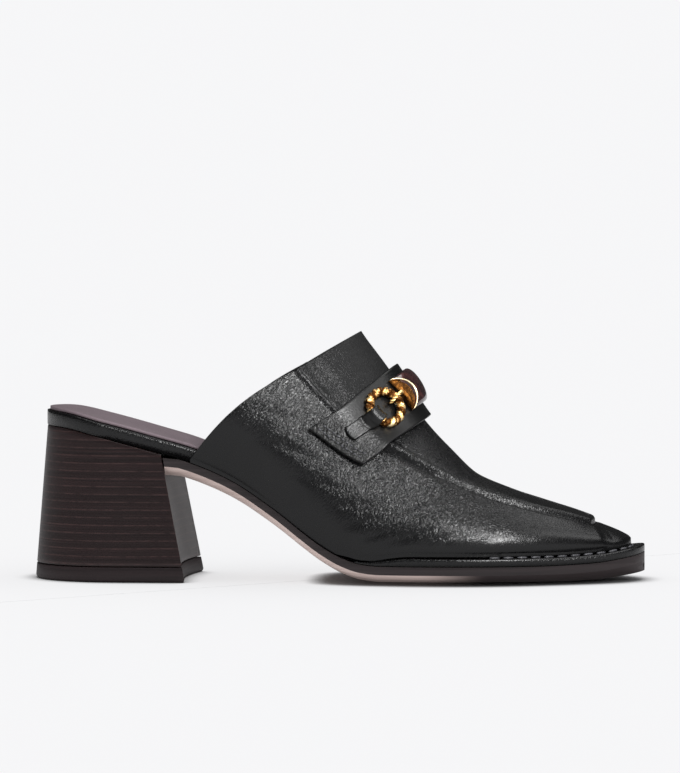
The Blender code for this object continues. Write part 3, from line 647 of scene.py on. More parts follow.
SOLE_EDGE = edge_leather("stained_sole_edge", "#251e1f", "#372e2f", 0.5, 0.05)
SOLE_PALE = edge_leather("pale_sole_leather", "#c9b2ab", "#e2cfc8", 0.6, 0.0, stain="#32292a")
STACK = stacked_leather()
RUBBER = edge_leather("top_piece_rubber", "#1f1517", "#2d1f21", 0.5, 0.05)
print("lift of the heel:", LIFT_MM, "mm")

# %% [markdown]
# ## Antiqued gold and tortoise resin
# The rings are cast brass plated with gold, then darkened and rubbed back, so the grooves of
# the rope stay brown and its crests shine. Pointiness isn't kept by an export, so a painted
# attribute named groove carries it. The bar is acetate cut from a mottled sheet and polished:
# deep brown-red with darker clouds under a glossy skin.

# %% Metal and resin finishes
def antiqued_gold():
    made, tree, shader, place = new_finish("antiqued_gold", metallic=1.0, roughness=0.24)
    worn = add_node(tree, "ShaderNodeAttribute", attribute_name="groove")
    patina = add_node(
        tree, "ShaderNodeTexNoise", {"Vector": place}, {"Scale": 700.0, "Detail": 3.0}
    )
    depth = add_node(
        tree, "ShaderNodeMath", {0: patina.outputs["Fac"], 2: worn.outputs["Fac"]},
        {1: 0.35}, operation="MULTIPLY_ADD",
    )
    colour = ramp(
        tree, depth.outputs[0],
        ((0.30, "#fdeac0"), (0.62, "#ecca8a"), (0.92, "#8a5a28"), (1.0, "#4a2c12")),
    )
    tree.links.new(colour, shader.inputs["Base Color"])
    rough = add_node(
        tree, "ShaderNodeMapRange", {"Value": depth.outputs[0]},
        {"To Min": 0.24, "To Max": 0.5},
    )
    tree.links.new(rough.outputs[0], shader.inputs["Roughness"])
    bump = add_node(
        tree, "ShaderNodeBump", {"Height": patina.outputs["Fac"]},
        {"Strength": 0.4, "Distance": 0.00003},
    )
    tree.links.new(bump.outputs["Normal"], shader.inputs["Normal"])
    return made


def tortoise_resin():
    made, tree, shader, place = new_finish(
        "tortoise_resin", roughness=0.16, ior=1.5, coat_weight=0.8, coat_roughness=0.04
    )
    clouds = add_node(
        tree, "ShaderNodeTexNoise", {"Vector": place},
        {"Scale": 160.0, "Detail": 3.0, "Roughness": 0.5, "Distortion": 1.2},
    )
    colour = ramp(
        tree, clouds.outputs["Fac"], ((0.36, "#1a0e10"), (0.55, "#2e191a"), (0.72, "#4c2b27"))
    )
    tree.links.new(colour, shader.inputs["Base Color"])
    return made


GOLD = antiqued_gold()
RESIN = tortoise_resin()

# %% [markdown]
# ## Outsole
# The sole is cut from one bend of leather: a flat top, an upright edge, a trimmed bevel and a
# tread that falls to a flat under the ball. Its section is lofted from the breast of the heel
# to the toe. The stain stops where the bevel starts, so the piece has two finishes.

# %% Outsole
def breast_x(y, z, half):
    """Face of the heel's breast, hollow across and leaning back as it rises."""
    front = at_station(0) + HEEL_FLOOR_LENGTH - HEEL_BREAST_LEAN * z / HEEL_HEIGHT
    skew = HEEL_BREAST_SKEW * (1 + y / half) / 2
    return front + skew - HEEL_BREAST_HOLLOW * (1 - (y / half) ** 2)


SOLE_FALL = curve_through(
    (0, 0.10, 0.21, 0.34, 0.5),
    (SOLE_SIDE + SOLE_BEVEL, SOLE_SIDE + SOLE_BEVEL + TREAD_ROUND * 0.5,
     SOLE_SIDE + SOLE_BEVEL + TREAD_ROUND * 0.86, TREAD_TOP, TREAD_TOP),
)


def sole_section(pair):
    """Top, upright sides, bevels and tread of the outsole, as one closed line."""
    columns = [(share, 0.0, 0.0) for share in np.linspace(0, 1, 9)]
    low = SOLE_SIDE + SOLE_BEVEL
    edge = [(0, SOLE_SIDE * 0.5), (0, SOLE_SIDE), (SOLE_BEVEL_IN * 0.5, SOLE_SIDE + SOLE_BEVEL * 0.5)]
    columns += [(1, inset, fall) for inset, fall in edge]
    columns += [(1 - s, SOLE_BEVEL_IN * (1 - s * 2), SOLE_FALL(s)) for s in np.linspace(0, 0.5, 12)]
    columns += [(s, SOLE_BEVEL_IN * (1 - s * 2), SOLE_FALL(s)) for s in np.linspace(0.5, 0, 12)[1:]]
    columns += [(0, inset, fall) for inset, fall in edge[::-1]]
    points = []
    for share, inset, fall in columns:
        x, y = across(pair, share, inset)
        points.append(Vector((x, y, sole_top(x) - fall)))
    return points


def make_outsole():
    start = breast_x(-HEEL_SEAT_WIDTH / 2, sole_top(at_station(0.22)) - TREAD_TOP, HEEL_SEAT_WIDTH / 2)
    loop, outward = closed_outline(start + HEEL_BREAST_SKEW + 2 * GAP)
    reach = np.array([UPPER_WALL + margin(x) for x, _ in loop])
    sections = [sole_section(pair) for pair in rungs(loop + outward * reach[:, None])]
    for point in sections[0]:
        point.x = breast_x(point.y, point.z, HEEL_SEAT_WIDTH / 2) + GAP
    bm = bmesh.new()
    stain = bm.verts.layers.float.new("stain")
    for vert in skin(bm, sections, closed=True, capped=True):
        vert[stain] = ease((vert.co.x - at_station(0.63)) / 0.030)
    bmesh.ops.recalc_face_normals(bm, faces=bm.faces)
    facing = math.copysign(1, max(bm.faces, key=lambda face: face.calc_center_median().z).normal.z)
    for face in bm.faces:
        face.material_index = 1 if face.normal.z * facing < -0.35 else 0
    piece = finished("leather_outsole", bm, [SOLE_EDGE, SOLE_PALE], ["outsole"])
    round_edges(piece, 0.0004)
    return piece


make_outsole()

# %% [markdown]
# ## Heel and top piece
# The heel block is D-shaped and flares towards the floor, and its breast is hollowed with a
# round plane. Its top is trimmed to the seat. The rubber top piece below it has its lower edge
# rounded by walking. Both are tubes of the same D section, closed at their ends.

# %% Heel
def heel_outline(z, inset=0.0):
    """D-shaped section of the heel at a height."""
    share = z / HEEL_HEIGHT
    half = (HEEL_FLOOR_WIDTH + (HEEL_SEAT_WIDTH - HEEL_FLOOR_WIDTH) * share) / 2
    rear = at_station(0) + HEEL_BACK_LEAN * share
    points = []
    for degrees in np.linspace(-90, 90, 61):
        angle = math.radians(degrees)
        x = rear + half * 1.14 * (1 - abs(math.cos(angle)) ** 0.95)
        points.append(Vector((x, half * math.sin(angle), z)))
    for y in np.linspace(half, -half, 17):
        points.append(Vector((breast_x(y, z, half), y, z)))
    middle = sum(points, Vector()) / len(points)
    for point in points:
        inward = Vector((middle.x - point.x, middle.y - point.y, 0)).normalized()
        point += inward * inset
    return points


def heel_rows(steps):
    """Rows of the heel from its top piece to the seat, each point under the sole line."""
    low = heel_outline(TOP_PIECE + GAP)
    high = heel_outline(HEEL_HEIGHT)
    rows = []
    for share in np.linspace(0, 1, steps):
        row = []
        for start, end in zip(low, high):
            top = start.copy()
            for _ in range(6):
                lift = (sole_top(top.x) - start.z) / (end.z - start.z)
                top = start.lerp(end, min(lift, 1.0))
            row.append(start.lerp(top, share))
        rows.append(row)
    return rows


bm = bmesh.new()
skin(bm, heel_rows(24), closed=True, capped=True)
round_edges(finished("stacked_heel", bm, STACK, ["heel"]), 0.0005, angle=50)

bm = bmesh.new()
TREAD_EDGE = ((0, 0.0014), (0.0002, 0.0009), (0.0005, 0.0005), (0.0009, 0.0002), (0.0014, 0), (TOP_PIECE, 0))
skin(bm, [heel_outline(z, inset) for z, inset in TREAD_EDGE], closed=True, capped=True)
round_edges(finished("top_piece", bm, RUBBER, ["heel_top_piece"]), 0.0003, angle=50)

# %% [markdown]
# ## Insole and sock
# The insole board is wrapped in the black leather of the upper, and its rounded edge shows as
# a rand round the seat. The sock is a thin lining glued on top, a little smaller, so a narrow
# black line is left round it.

# %% Insole and sock lining
def insole_bottom(x):
    return sole_top(x) + GAP


def insole_top(x):
    inside = ease((station_of(x) - 0.27) / 0.22)
    return insole_bottom(x) + INSOLE_SEAT + (INSOLE_FORE - INSOLE_SEAT) * inside


def sock_top(x):
    return insole_top(x) + GAP + SOCK_LINING


def slab_rows(pairs, low, high, edge):
    """Rows of a thin slab whose two edges are rounded with a radius of edge."""
    columns = [(share, edge, 0.0, True) for share in np.linspace(0, 1, 11)]
    arc = [(1 - math.cos(a), 1 - math.sin(a)) for a in np.linspace(math.pi / 2, 0, 5)][1:]
    right = [(1, inset * edge, fall * edge, True) for inset, fall in arc[::-1]]
    columns += right[::-1] + [(1, 0.0, 0.0, False), (0, 0.0, 0.0, False)]
    columns += [(0, inset, fall, top) for _, inset, fall, top in right]
    rows = []
    for pair in pairs:
        row = []
        for share, inset, fall, top in columns:
            x, y = across(pair, share, inset)
            row.append(Vector((x, y, (high(x) if top else low(x)) - fall)))
        rows.append(row)
    return rows


loop, outward = closed_outline()
bm = bmesh.new()
skin(bm, slab_rows(rungs(loop - outward * GAP), insole_bottom, insole_top, 0.0013), True, True)
finished("wrapped_insole", bm, RAND_LEATHER, ["insole"])

inside = np.array([ease((station_of(x) - 0.27) / 0.1) for x, _ in loop])
reach = GAP + SOCK_INSET + (SOCK_TOE_INSET - SOCK_INSET) * inside
bm = bmesh.new()
sock_pairs = rungs(loop - outward * reach[:, None])
skin(bm, slab_rows(sock_pairs, lambda x: insole_top(x) + GAP, sock_top, 0.0005), True, True)
finished("sock", bm, LINING, ["sock_lining"])

# %% [markdown]
# ## Upper
# The upper is one hollow wall of leather. Its ribs run from the welt over the foot: two side
# walls and, between the seams, the apron, a separate piece sewn on with a raised lip. Here the
# walls and the apron are two sheets merged along the seam, and a Solidify modifier gives them
# the leather's thickness outwards. A weight on each vertex makes the apron thicker than the
# wall, raises the lip and sinks the groove outside it.

# %% Ribs of the upper
def rib_value(rib, name):
    return RIB_CURVES[name](rib)


WELT_STATION = 0.535


def welt_height(x):
    full = ease((station_of(x) - WELT_STATION) / 0.09)
    return WELT_END + (WELT_THICKNESS - WELT_END) * full


def foot_z(x):
    """Height of the upper's lower edge: on the welt, or on the outsole at the waist."""
    on_welt = ease((station_of(x) - WELT_STATION + 0.045) / 0.04)
    return sole_top(x) + GAP + on_welt * (welt_height(x) + WELT_CLEARANCE)


def foot_point(x, y, outward):
    return Vector((x, y, max(foot_z(x), foot_z(x + outward[0] * UPPER_WALL))))


def seam_point(side, rib):
    x = at_station(rib_value(rib, "seam"))
    half = rib_value(rib, "seam_outer" if side == OUTER else "seam_inner")
    return Vector((x, side * half * BALL_WIDTH, sole_top(x) + rib_value(rib, "seam_rise") * VAMP_RISE))


def crest_point(rib):
    x = at_station(rib_value(rib, "crest"))
    middle = (seam_point(OUTER, rib).y + seam_point(INNER, rib).y) / 2
    return Vector((x, middle, sole_top(x) + rib_value(rib, "crest_rise") * VAMP_RISE))


WallRib = namedtuple("WallRib", "foot seam outward bulge bow")


@lru_cache(maxsize=None)
def side_wall(side, rib):
    x = at_station(rib_value(rib, "foot"))
    step = LENGTH / 200
    rise = last_side(side, x + step) - last_side(side, x - step)
    outward = Vector((-side * rise, side * 2 * step, 0)).normalized()
    bulge, bow = rib_value(rib, "bulge") * BALL_WIDTH, rib_value(rib, "bow") * VAMP_RISE
    return WallRib(foot_point(x, last_side(side, x), outward), seam_point(side, rib), outward, bulge, bow)


def toe_wall(share, seam):
    """Rib of the wall round the toe, up to the apron's squared front."""
    x, y = toe_edge(share)
    before, after = toe_edge(max(share - 0.04, -1)), toe_edge(min(share + 0.04, 1))
    outward = Vector((after[1] - before[1], before[0] - after[0], 0)).normalized()
    bulge = TOE_BULGE + (RIBS[-1].bulge - TOE_BULGE) * share ** 2
    return WallRib(foot_point(x, y, outward), seam, outward, bulge * BALL_WIDTH, 0.0)


def wall_point(wall, share):
    """Point of the wall's inner face between its upright foot and the seam."""
    start = wall.foot + Vector((0, 0, FOOT_STRIP))
    chord = wall.seam - start
    up_back = Vector((-chord.z, 0, chord.x)).normalized() if wall.bow else Vector()
    swell = wall.outward * wall.bulge * math.sin(math.pi * share ** 0.85)
    return start + chord * share + swell + up_back * wall.bow * math.sin(math.pi * share)


def apron_point(rib, share):
    """Point of the apron's inner face, 0 at the outer seam and 1 at the inner one."""
    outer, inner, crest = seam_point(OUTER, rib), seam_point(INNER, rib), crest_point(rib)
    arch = 1 - abs(2 * share - 1) ** ARCH_POWER
    return outer.lerp(inner, share) + (crest - (outer + inner) / 2) * arch


# %% [markdown]
# ## The lip along the apron
# The apron's edge is turned up and sewn from the side, so it stands as a lip about 2 mm wide,
# with a stitched line on its inner side and a dark groove outside it. The table gives how much
# leather stands above the wall at each distance in from the seam.

# %% Lip of the apron
LIP_WIDTH = 0.0056
LIP_PLACES = (0.0, 0.0003, 0.0008, 0.0014, 0.0020, 0.0026, 0.0030, 0.0034, 0.0040, LIP_WIDTH)
LIP_RISES = (-0.0011, -0.0002, 0.0010, 0.0015, 0.0016, 0.0015, 0.0012, 0.0010, 0.0013, APRON_RISE)
TONGUE_RISES = (0.0006, -0.0008, -0.0008, -0.0004, -0.0002, 0.0, 0.0001, 0.0003, 0.0005, 0.0008)
GROOVE_WIDTH = 0.0016
RIBS_ALONG, APRON_ACROSS, WALL_UP = 130, 34, 40


def apron_shares(rib):
    """Columns across the apron, close together along its lips."""
    width = (seam_point(INNER, rib) - seam_point(OUTER, rib)).length
    arch = 1 + 0.9 * (crest_point(rib) - seam_point(OUTER, rib)).z / width
    lip = [place / (width * arch) for place in LIP_PLACES]
    middle = list(np.linspace(lip[-1], 1 - lip[-1], APRON_ACROSS))[1:-1]
    return lip + middle + [1 - share for share in lip[::-1]]


def apron_ribs():
    """Ribs along the apron, close together at its squared front."""
    length = (crest_point(LAST_RIB) - crest_point(LAST_RIB - 1)).length
    lip = [LAST_RIB - place / length for place in LIP_PLACES]
    return list(np.linspace(0, lip[-1], RIBS_ALONG)) + lip[-2::-1]


# %% [markdown]
# ## Creases
# Leather keeps the folds of lasting and of the first steps. They are soft troughs a few tenths
# of a millimetre deep, fanned out over the ball where the shoe bends, with a few drawn from the
# waist up towards the strap. Each row below gives the two ends on a side wall, as a rib and a
# share of the wall's height, then its depth and its width.

# %% Table of creases
Crease = namedtuple("Crease", "rib_a up_a rib_b up_b depth width")
CREASES = [Crease(*row) for row in (
    (3.05, 0.16, 3.65, 0.42, 0.00035, 0.0016), (3.35, 0.10, 4.05, 0.36, 0.00040, 0.0018),
    (3.75, 0.12, 4.30, 0.44, 0.00030, 0.0014), (4.05, 0.14, 4.75, 0.40, 0.00035, 0.0016),
    (4.45, 0.16, 4.95, 0.46, 0.00022, 0.0014), (2.70, 0.26, 3.25, 0.50, 0.00030, 0.0018),
    (2.30, 0.38, 2.95, 0.56, 0.00025, 0.0016), (1.00, 0.48, 1.75, 0.62, 0.00030, 0.0020),
    (0.60, 0.40, 1.30, 0.55, 0.00025, 0.0018), (1.45, 0.36, 2.20, 0.52, 0.00028, 0.0016),
    (0.35, 0.62, 0.95, 0.74, 0.00022, 0.0016), (2.05, 0.60, 2.55, 0.78, 0.00022, 0.0014),
    (3.20, 0.48, 3.60, 0.70, 0.00020, 0.0014), (5.10, 0.22, 5.50, 0.44, 0.00018, 0.0014),
)]


def crease_depth(points):
    """Depth of the troughs at each point, from its distance to the creases' centre lines."""
    depth = np.zeros(len(points))
    for side in (OUTER, INNER):
        for crease in CREASES:
            shift = 0.0 if side == OUTER else 0.17
            ribs = np.linspace(crease.rib_a, crease.rib_b, 7) + shift
            ups = np.linspace(crease.up_a, crease.up_b, 7)
            line = np.array([wall_point(side_wall(side, float(r)), float(u)) for r, u in zip(ribs, ups)])
            away = np.linalg.norm(points[:, None, :] - line[None, :, :], axis=2)
            spacing = np.linalg.norm(line[1] - line[0])
            nearest = np.sqrt(np.maximum(away.min(axis=1) ** 2 - 0.06 * spacing ** 2, 0))
            ends = np.clip(1.4 - away[:, 3] / (np.linalg.norm(line[-1] - line[0]) * 0.5), 0, 1)
            depth += crease.depth * np.exp(-(nearest / crease.width) ** 2) * ends
    return depth


# %% Upper
def smooth_zone(point):
    """How crinkled the leather is: 0 where lasting pulled it smooth, near the sole and toe."""
    above = point.z - sole_top(point.x)
    waist = ease((at_station(0.60) - point.x) / 0.05)
    low = 0.006 + 0.015 * waist
    rise = ease((above - low) / 0.012)
    toe = 1 - 0.75 * ease((point.x - at_station(0.70)) / 0.035)
    tongue = 1 - 0.45 * ease((above - 0.050) / 0.012)
    return 0.10 + 0.90 * rise * toe * tongue


def make_upper():
    bm = bmesh.new()
    thickness = bm.verts.layers.float.new("wall")
    matt = bm.verts.layers.float.new("matt")
    ribs = [float(rib) for rib in apron_ribs()]
    shares = [apron_shares(rib) for rib in ribs]
    rows = [[apron_point(rib, share) for share in row] for rib, row in zip(ribs, shares)]
    apron = skin(bm, rows)
    count, front = len(shares[0]), len(ribs) - 1
    lips = [ease((rib - STRAP_RIB + 0.4) / 0.8) for rib in ribs]
    for index, vert in enumerate(apron):
        row, column = divmod(index, count)
        edge = min(column, count - 1 - column, front - row, len(LIP_RISES) - 1)
        vert[thickness] = LIP_RISES[edge] * lips[row] + TONGUE_RISES[edge] * (1 - lips[row])
        vert[matt] = 1 - lips[row]

    corner = [rows[-1][i] for i in range(count)]
    walls = [side_wall(OUTER, rib)._replace(seam=row[0]) for rib, row in zip(ribs[:-1], rows)]
    walls += [toe_wall(share, seam) for share, seam in zip(np.linspace(-1, 1, count), corner)]
    walls += [side_wall(INNER, rib)._replace(seam=row[-1]) for rib, row in zip(ribs[-2::-1], rows[-2::-1])]
    columns = []
    for wall in walls:
        height = (wall.seam - wall.foot).length
        below = 1 - GROOVE_WIDTH / height
        ups = [*np.linspace(0, below, WALL_UP), (1 + below) / 2, 1.0]
        columns.append([wall.foot] + [wall_point(wall, up) for up in ups[:-1]] + [wall.seam])
    wall_verts = skin(bm, columns)
    high = len(columns[0])
    lips = lips[:-1] + [1.0] * count + lips[-2::-1]
    for index, vert in enumerate(wall_verts):
        column, up = divmod(index, high)
        grooved = {high - 1: LIP_RISES[0], high - 2: -0.0003}.get(up, 0.0)
        folded = TONGUE_RISES[0] if up >= high - 2 else 0.0
        vert[thickness] = grooved * lips[column] + folded * (1 - lips[column])
    bmesh.ops.remove_doubles(bm, verts=bm.verts, dist=1e-5)
    bmesh.ops.recalc_face_normals(bm, faces=bm.faces)
    bm.normal_update()
    if max(bm.faces, key=lambda face: face.calc_center_median().z).normal.z < 0:
        bmesh.ops.reverse_faces(bm, faces=bm.faces)
    bm.normal_update()
    bm.verts.index_update()
    bm.verts.ensure_lookup_table()

    depth = crease_depth(np.array([tuple(vert.co) for vert in bm.verts]))
    crinkle = bm.verts.layers.float.new("crinkle")
    most = UPPER_WALL + max(LIP_RISES)
    weights = []
    for vert, fold in zip(bm.verts, depth):
        vert[crinkle] = smooth_zone(vert.co)
        weights.append((UPPER_WALL + vert[thickness]) / most)
        vert.co -= vert.normal * fold
    upper = finished("calf_upper", bm, UPPER_LEATHER, ["upper"], keep_facing=True)
    group = upper.vertex_groups.new(name="thickness")
    for index, weight in enumerate(weights):
        group.add([index], weight, "REPLACE")
    thicken(upper, most, group.name)
    round_edges(upper, 0.0004, 2, 60)
    return upper


make_upper()

# %% [markdown]
# ## Welt and its stitches
# The welt is a narrow band of black leather between the upper and the sole, with a rounded top
# edge that catches a line of light. Round the toe it is sewn down with a heavy waxed thread:
# the stitches lie in the corner below the upper, about 6 mm apart.

# %% Welt
WELT_EDGE = 0.0007
welt_loop, welt_out = closed_outline(at_station(WELT_STATION))
sections = []
for (x, y), (out_x, out_y) in zip(welt_loop, welt_out):
    reach, height = UPPER_WALL + margin(x), welt_height(x)
    edge = min(WELT_EDGE, height / 3)
    arc = [(reach - edge * (1 - math.cos(a)), height - edge * (1 - math.sin(a))) for a in np.linspace(0, math.pi / 2, 5)]
    corner = [(0, 0), (reach * 0.5, 0), (reach, 0), *arc, (reach * 0.5, height), (0, height)]
    row = []
    for beyond, up in corner:
        px, py = x + out_x * beyond, y + out_y * beyond
        row.append(Vector((px, py, sole_top(px) + GAP + up)))
    sections.append(row)
bm = bmesh.new()
skin(bm, sections, closed=True, capped=True)
finished("leather_welt", bm, RAND_LEATHER, ["welt"])


# %% Stitches
def thread_finish():
    made, tree, shader, place = new_finish("waxed_thread", roughness=0.35, ior=1.5)
    plies = add_node(tree, "ShaderNodeTexNoise", {"Vector": place}, {"Scale": 2500.0})
    # The thread is black: the greys of this ramp paint the highlight on each stitch, and the plies vary it at
    # random.
    colour = ramp(tree, plies.outputs["Fac"], ((0.3, "#242426"), (0.7, "#4c4c50")))
    tree.links.new(colour, shader.inputs["Base Color"])
    return made


THREAD = thread_finish()


def stitch(bm, start, end, thick, up):
    """One stitch: a small ball drawn out between its two holes and flattened a little."""
    along = end - start
    side = up.cross(along).normalized()
    turn = Matrix((along.normalized(), side, side.cross(-along).normalized())).transposed().to_4x4()
    size = Matrix.Diagonal((along.length / 2, thick, thick * 0.8, 1.0))
    place = Matrix.Translation((start + end) / 2) @ turn @ size
    bmesh.ops.create_uvsphere(bm, u_segments=8, v_segments=6, radius=1.0, matrix=place)


WELT_STITCH, WELT_STITCH_STEP = 0.0046, 0.0059
bm = bmesh.new()
sewn = [
    Vector((x + ox * (UPPER_WALL + 0.0005), y + oy * (UPPER_WALL + 0.0005), 0))
    for (x, y), (ox, oy) in zip(welt_loop, welt_out) if x > at_station(0.745)
]
walked = np.concatenate(([0], np.cumsum([(b - a).length for a, b in zip(sewn, sewn[1:])])))
count = int(walked[-1] / WELT_STITCH_STEP)
for number in range(count):
    ends = []
    for place in (number * WELT_STITCH_STEP, number * WELT_STITCH_STEP + WELT_STITCH):
        x, y = (float(np.interp(place, walked, [p[i] for p in sewn])) for i in (0, 1))
        ends.append(Vector((x, y, sole_top(x) + GAP + WELT_THICKNESS + 0.0003)))
    stitch(bm, *ends, 0.0006, Vector((0, 0, 1)))
finished("welt_stitches", bm, THREAD)
print("welt stitches:", count)

# %% [markdown]
# ## Strap
# The strap is a band of the same leather, 25 mm wide, laid over the instep and sewn to both
# walls with two rows of stitches. Places on it are given by an arc from the crest of the foot
# and an offset towards the toe, so that it bends with the upper.

# %% Places on the strap
@lru_cache(maxsize=None)
def rib_line(rib):
    """Points of one rib from the outer foot over the crest to the inner foot, and their arcs."""
    outer, inner = side_wall(OUTER, rib), side_wall(INNER, rib)
    points = [wall_point(outer, share) for share in np.linspace(0, 1, 61)[:-1]]
    points += [apron_point(rib, share) for share in np.linspace(0, 1, 121)]
    points += [wall_point(inner, share) for share in np.linspace(1, 0, 61)[1:]]
    points = np.array([tuple(point) for point in points])
    arcs = np.concatenate(([0], np.cumsum(np.linalg.norm(np.diff(points, axis=0), axis=1))))
    return points, arcs - arcs[120], arcs[180] - arcs[120]


RIB_GRID = 0.05


def on_skin(rib, arc):
    """Point of the inner face, between the two nearest of the ribs drawn RIB_GRID apart."""
    lower = math.floor(rib / RIB_GRID)
    found = []
    for step in (lower, lower + 1):
        points, arcs, _ = rib_line(round(step * RIB_GRID, 4))
        found.append(Vector([float(np.interp(arc, arcs, points[:, axis])) for axis in range(3)]))
    return found[0].lerp(found[1], rib / RIB_GRID - lower)


Place = namedtuple("Place", "point along normal")


def skin_place(arc, offset=0.0):
    spacing = (on_skin(STRAP_RIB + 0.5, arc) - on_skin(STRAP_RIB - 0.5, arc)).length
    rib = STRAP_RIB + offset / spacing
    along = (on_skin(rib, arc + SKIN_STEP) - on_skin(rib, arc - SKIN_STEP)).normalized()
    across_it = (on_skin(rib + 0.1, arc) - on_skin(rib - 0.1, arc)).normalized()
    return Place(on_skin(rib, arc), along, across_it.cross(along).normalized())


def strap_height(arc):
    """Underside of the strap above the inner face: over the apron's lip, then on the wall."""
    down = ease((abs(arc) - rib_line(STRAP_RIB)[2]) / STRAP_RUN_DOWN)
    over_lip = APRON_RISE + 0.0007 + STRAP_CLEARANCE
    return UPPER_WALL + GAP + over_lip * (1 - down) + STRAP_REST * down


def on_strap(arc, offset, above):
    place = skin_place(arc, offset)
    return place.point + place.normal * (strap_height(arc) + STRAP_THICKNESS + above)


# %% Strap
STRAP_LENGTHS = np.linspace(-1, 1, 111)
STRAP_SHARES = np.linspace(-0.5, 0.5, 23)
rows = []
for length in STRAP_LENGTHS:
    arcs = [length * (STRAP_REACH - share * STRAP_END_SKEW) for share in STRAP_SHARES]
    rows.append([
        on_strap(arc, share * STRAP_WIDTH, -STRAP_THICKNESS) for arc, share in zip(arcs, STRAP_SHARES)
    ])
bm = bmesh.new()
crinkle = bm.verts.layers.float.new("crinkle")
band = skin(bm, rows)
for index, vert in enumerate(band):
    length = abs(STRAP_LENGTHS[index // len(STRAP_SHARES)])
    vert[crinkle] = 0.12 + 0.88 * ease((length - 0.66) / 0.22)
bm.normal_update()
if sum(face.normal.z for face in bm.faces) < 0:
    bmesh.ops.reverse_faces(bm, faces=bm.faces)
strap = finished("instep_strap", bm, STRAP_LEATHER, ["strap"], keep_facing=True)
thicken(strap, STRAP_THICKNESS)
round_edges(strap, 0.0005, 3, 60)

# %% Stitches of the strap
STRAP_STITCH, STRAP_STITCH_STEP = 0.0015, 0.0020
STRAP_ROWS = (0.0021, 0.0044)
bm = bmesh.new()
for side in (OUTER, INNER):
    for row in STRAP_ROWS:
        for offset in np.arange(-STRAP_WIDTH / 2 + 0.0022, STRAP_WIDTH / 2 - 0.0030, STRAP_STITCH_STEP):
            ends = []
            for place in (offset, offset + STRAP_STITCH):
                arc = side * (STRAP_REACH - row - place / STRAP_WIDTH * STRAP_END_SKEW)
                ends.append(on_strap(arc, place, 0.00022))
            stitch(bm, *ends, 0.00050, skin_place(arc, offset).normal)
finished("strap_stitches", bm, THREAD)

# %% [markdown]
# ## Rope rings
# Each ring is cast as a two-strand rope closed into a circle. One strand is a round tube whose
# centre winds about the ring's centre line; the second is the same strand half a turn on. The
# groove attribute darkens what lies deep between the strands.

# %% Rings
ROPE_DIAMETER = 0.0038
RING_DIAMETER = 0.0176
ROPE = ROPE_DIAMETER / 2
RING = (RING_DIAMETER - ROPE_DIAMETER) / 2


def ring_matrix(side):
    """Frame of a ring: its middle, X along the strap away from the crest, Z off the strap."""
    place = skin_place(side * RING_FROM_CREST, HARDWARE_SHIFT)
    centre = on_strap(side * RING_FROM_CREST, HARDWARE_SHIFT, GAP + ROPE)
    along = place.along * side
    turn = Matrix((along, place.normal.cross(along).normalized(), place.normal)).transposed()
    return Matrix.Translation(centre) @ turn.to_4x4()


def rope_ring(bm, frame_of_ring, ring, rope, twists, steps):
    """A closed two-strand rope round a circle of radius ring."""
    groove = bm.verts.layers.float.get("groove") or bm.verts.layers.float.new("groove")
    strand, swing = rope * 0.56, rope * 0.48
    for half_turn in (0, math.pi):
        rows, shade = [], []
        for a in np.linspace(0, 2 * math.pi, steps + 1):
            twist = a * twists + half_turn
            out = Vector((math.cos(a), math.sin(a), 0))
            centre = out * (ring + swing * math.cos(twist)) + Vector((0, 0, swing * math.sin(twist)))
            ahead = (Vector((-math.sin(a), math.cos(a), 0)) * ring
                     + (out * -math.sin(twist) + Vector((0, 0, math.cos(twist)))) * swing * twists).normalized()
            outwards = (out * math.cos(twist) + Vector((0, 0, math.sin(twist))))
            outwards = (outwards - ahead * outwards.dot(ahead)).normalized()
            side = ahead.cross(outwards)
            row = []
            for b in np.linspace(0, 2 * math.pi, 10, endpoint=False):
                row.append(frame_of_ring @ (centre + (outwards * math.cos(b) + side * math.sin(b)) * strand))
                shade.append((1 - math.cos(b)) / 2)
            rows.append(row)
        made = skin(bm, rows, closed=True)
        for index, vert in enumerate(made):
            vert[groove] = shade[index % 10] ** 1.7


for side, name in ((OUTER, "ring_outer"), (INNER, "ring_inner")):
    bm = bmesh.new()
    rope_ring(bm, ring_matrix(side), RING, ROPE, 9, 288)
    bmesh.ops.remove_doubles(bm, verts=bm.verts, dist=1e-6)
    finished("rope_" + name, bm, GOLD, [name])

# %% [markdown]
# ## Tabs
# A narrow leather tab comes out of the strap, goes up over the rope and down into the ring,
# and holds it. It is a flat sheet bent along the strap and then round the rope.

# %% Tabs
TAB_WIDTH, TAB_THICKNESS, TAB_TAIL = 0.0064, 0.0012, 0.0085


def tab_rows(side):
    clear = ROPE + 2 * GAP
    frame_of_ring = ring_matrix(side)
    rows = []
    for share in np.linspace(-0.5, 0.5, 9):
        offset = share * TAB_WIDTH
        rope = math.sqrt(RING ** 2 - offset ** 2)
        row = []
        for tail in np.linspace(1, 0.1, 10):
            arc = side * (RING_FROM_CREST + rope + clear + TAB_TAIL * tail)
            row.append(on_strap(arc, HARDWARE_SHIFT - side * offset, 2 * GAP))
        for degrees in range(5, 181, 12):
            angle = math.radians(degrees)
            row.append(frame_of_ring @ Vector((rope + math.cos(angle) * clear, offset, math.sin(angle) * clear)))
        rows.append(row)
    return rows


for side, name in ((OUTER, "tab_outer"), (INNER, "tab_inner")):
    bm = bmesh.new()
    crinkle = bm.verts.layers.float.new("crinkle")
    made = skin(bm, tab_rows(side))
    for vert in made:
        vert[crinkle] = 0.3
    bm.normal_update()
    bm.faces.ensure_lookup_table()
    if bm.faces[0].normal.dot(ring_matrix(side).to_3x3() @ Vector((0, 0, 1))) < 0:
        bmesh.ops.reverse_faces(bm, faces=bm.faces)
    tab = finished("leather_" + name, bm, STRAP_LEATHER, [name], keep_facing=True)
    thicken(tab, TAB_THICKNESS)
    round_edges(tab, 0.00035, 3, 60)

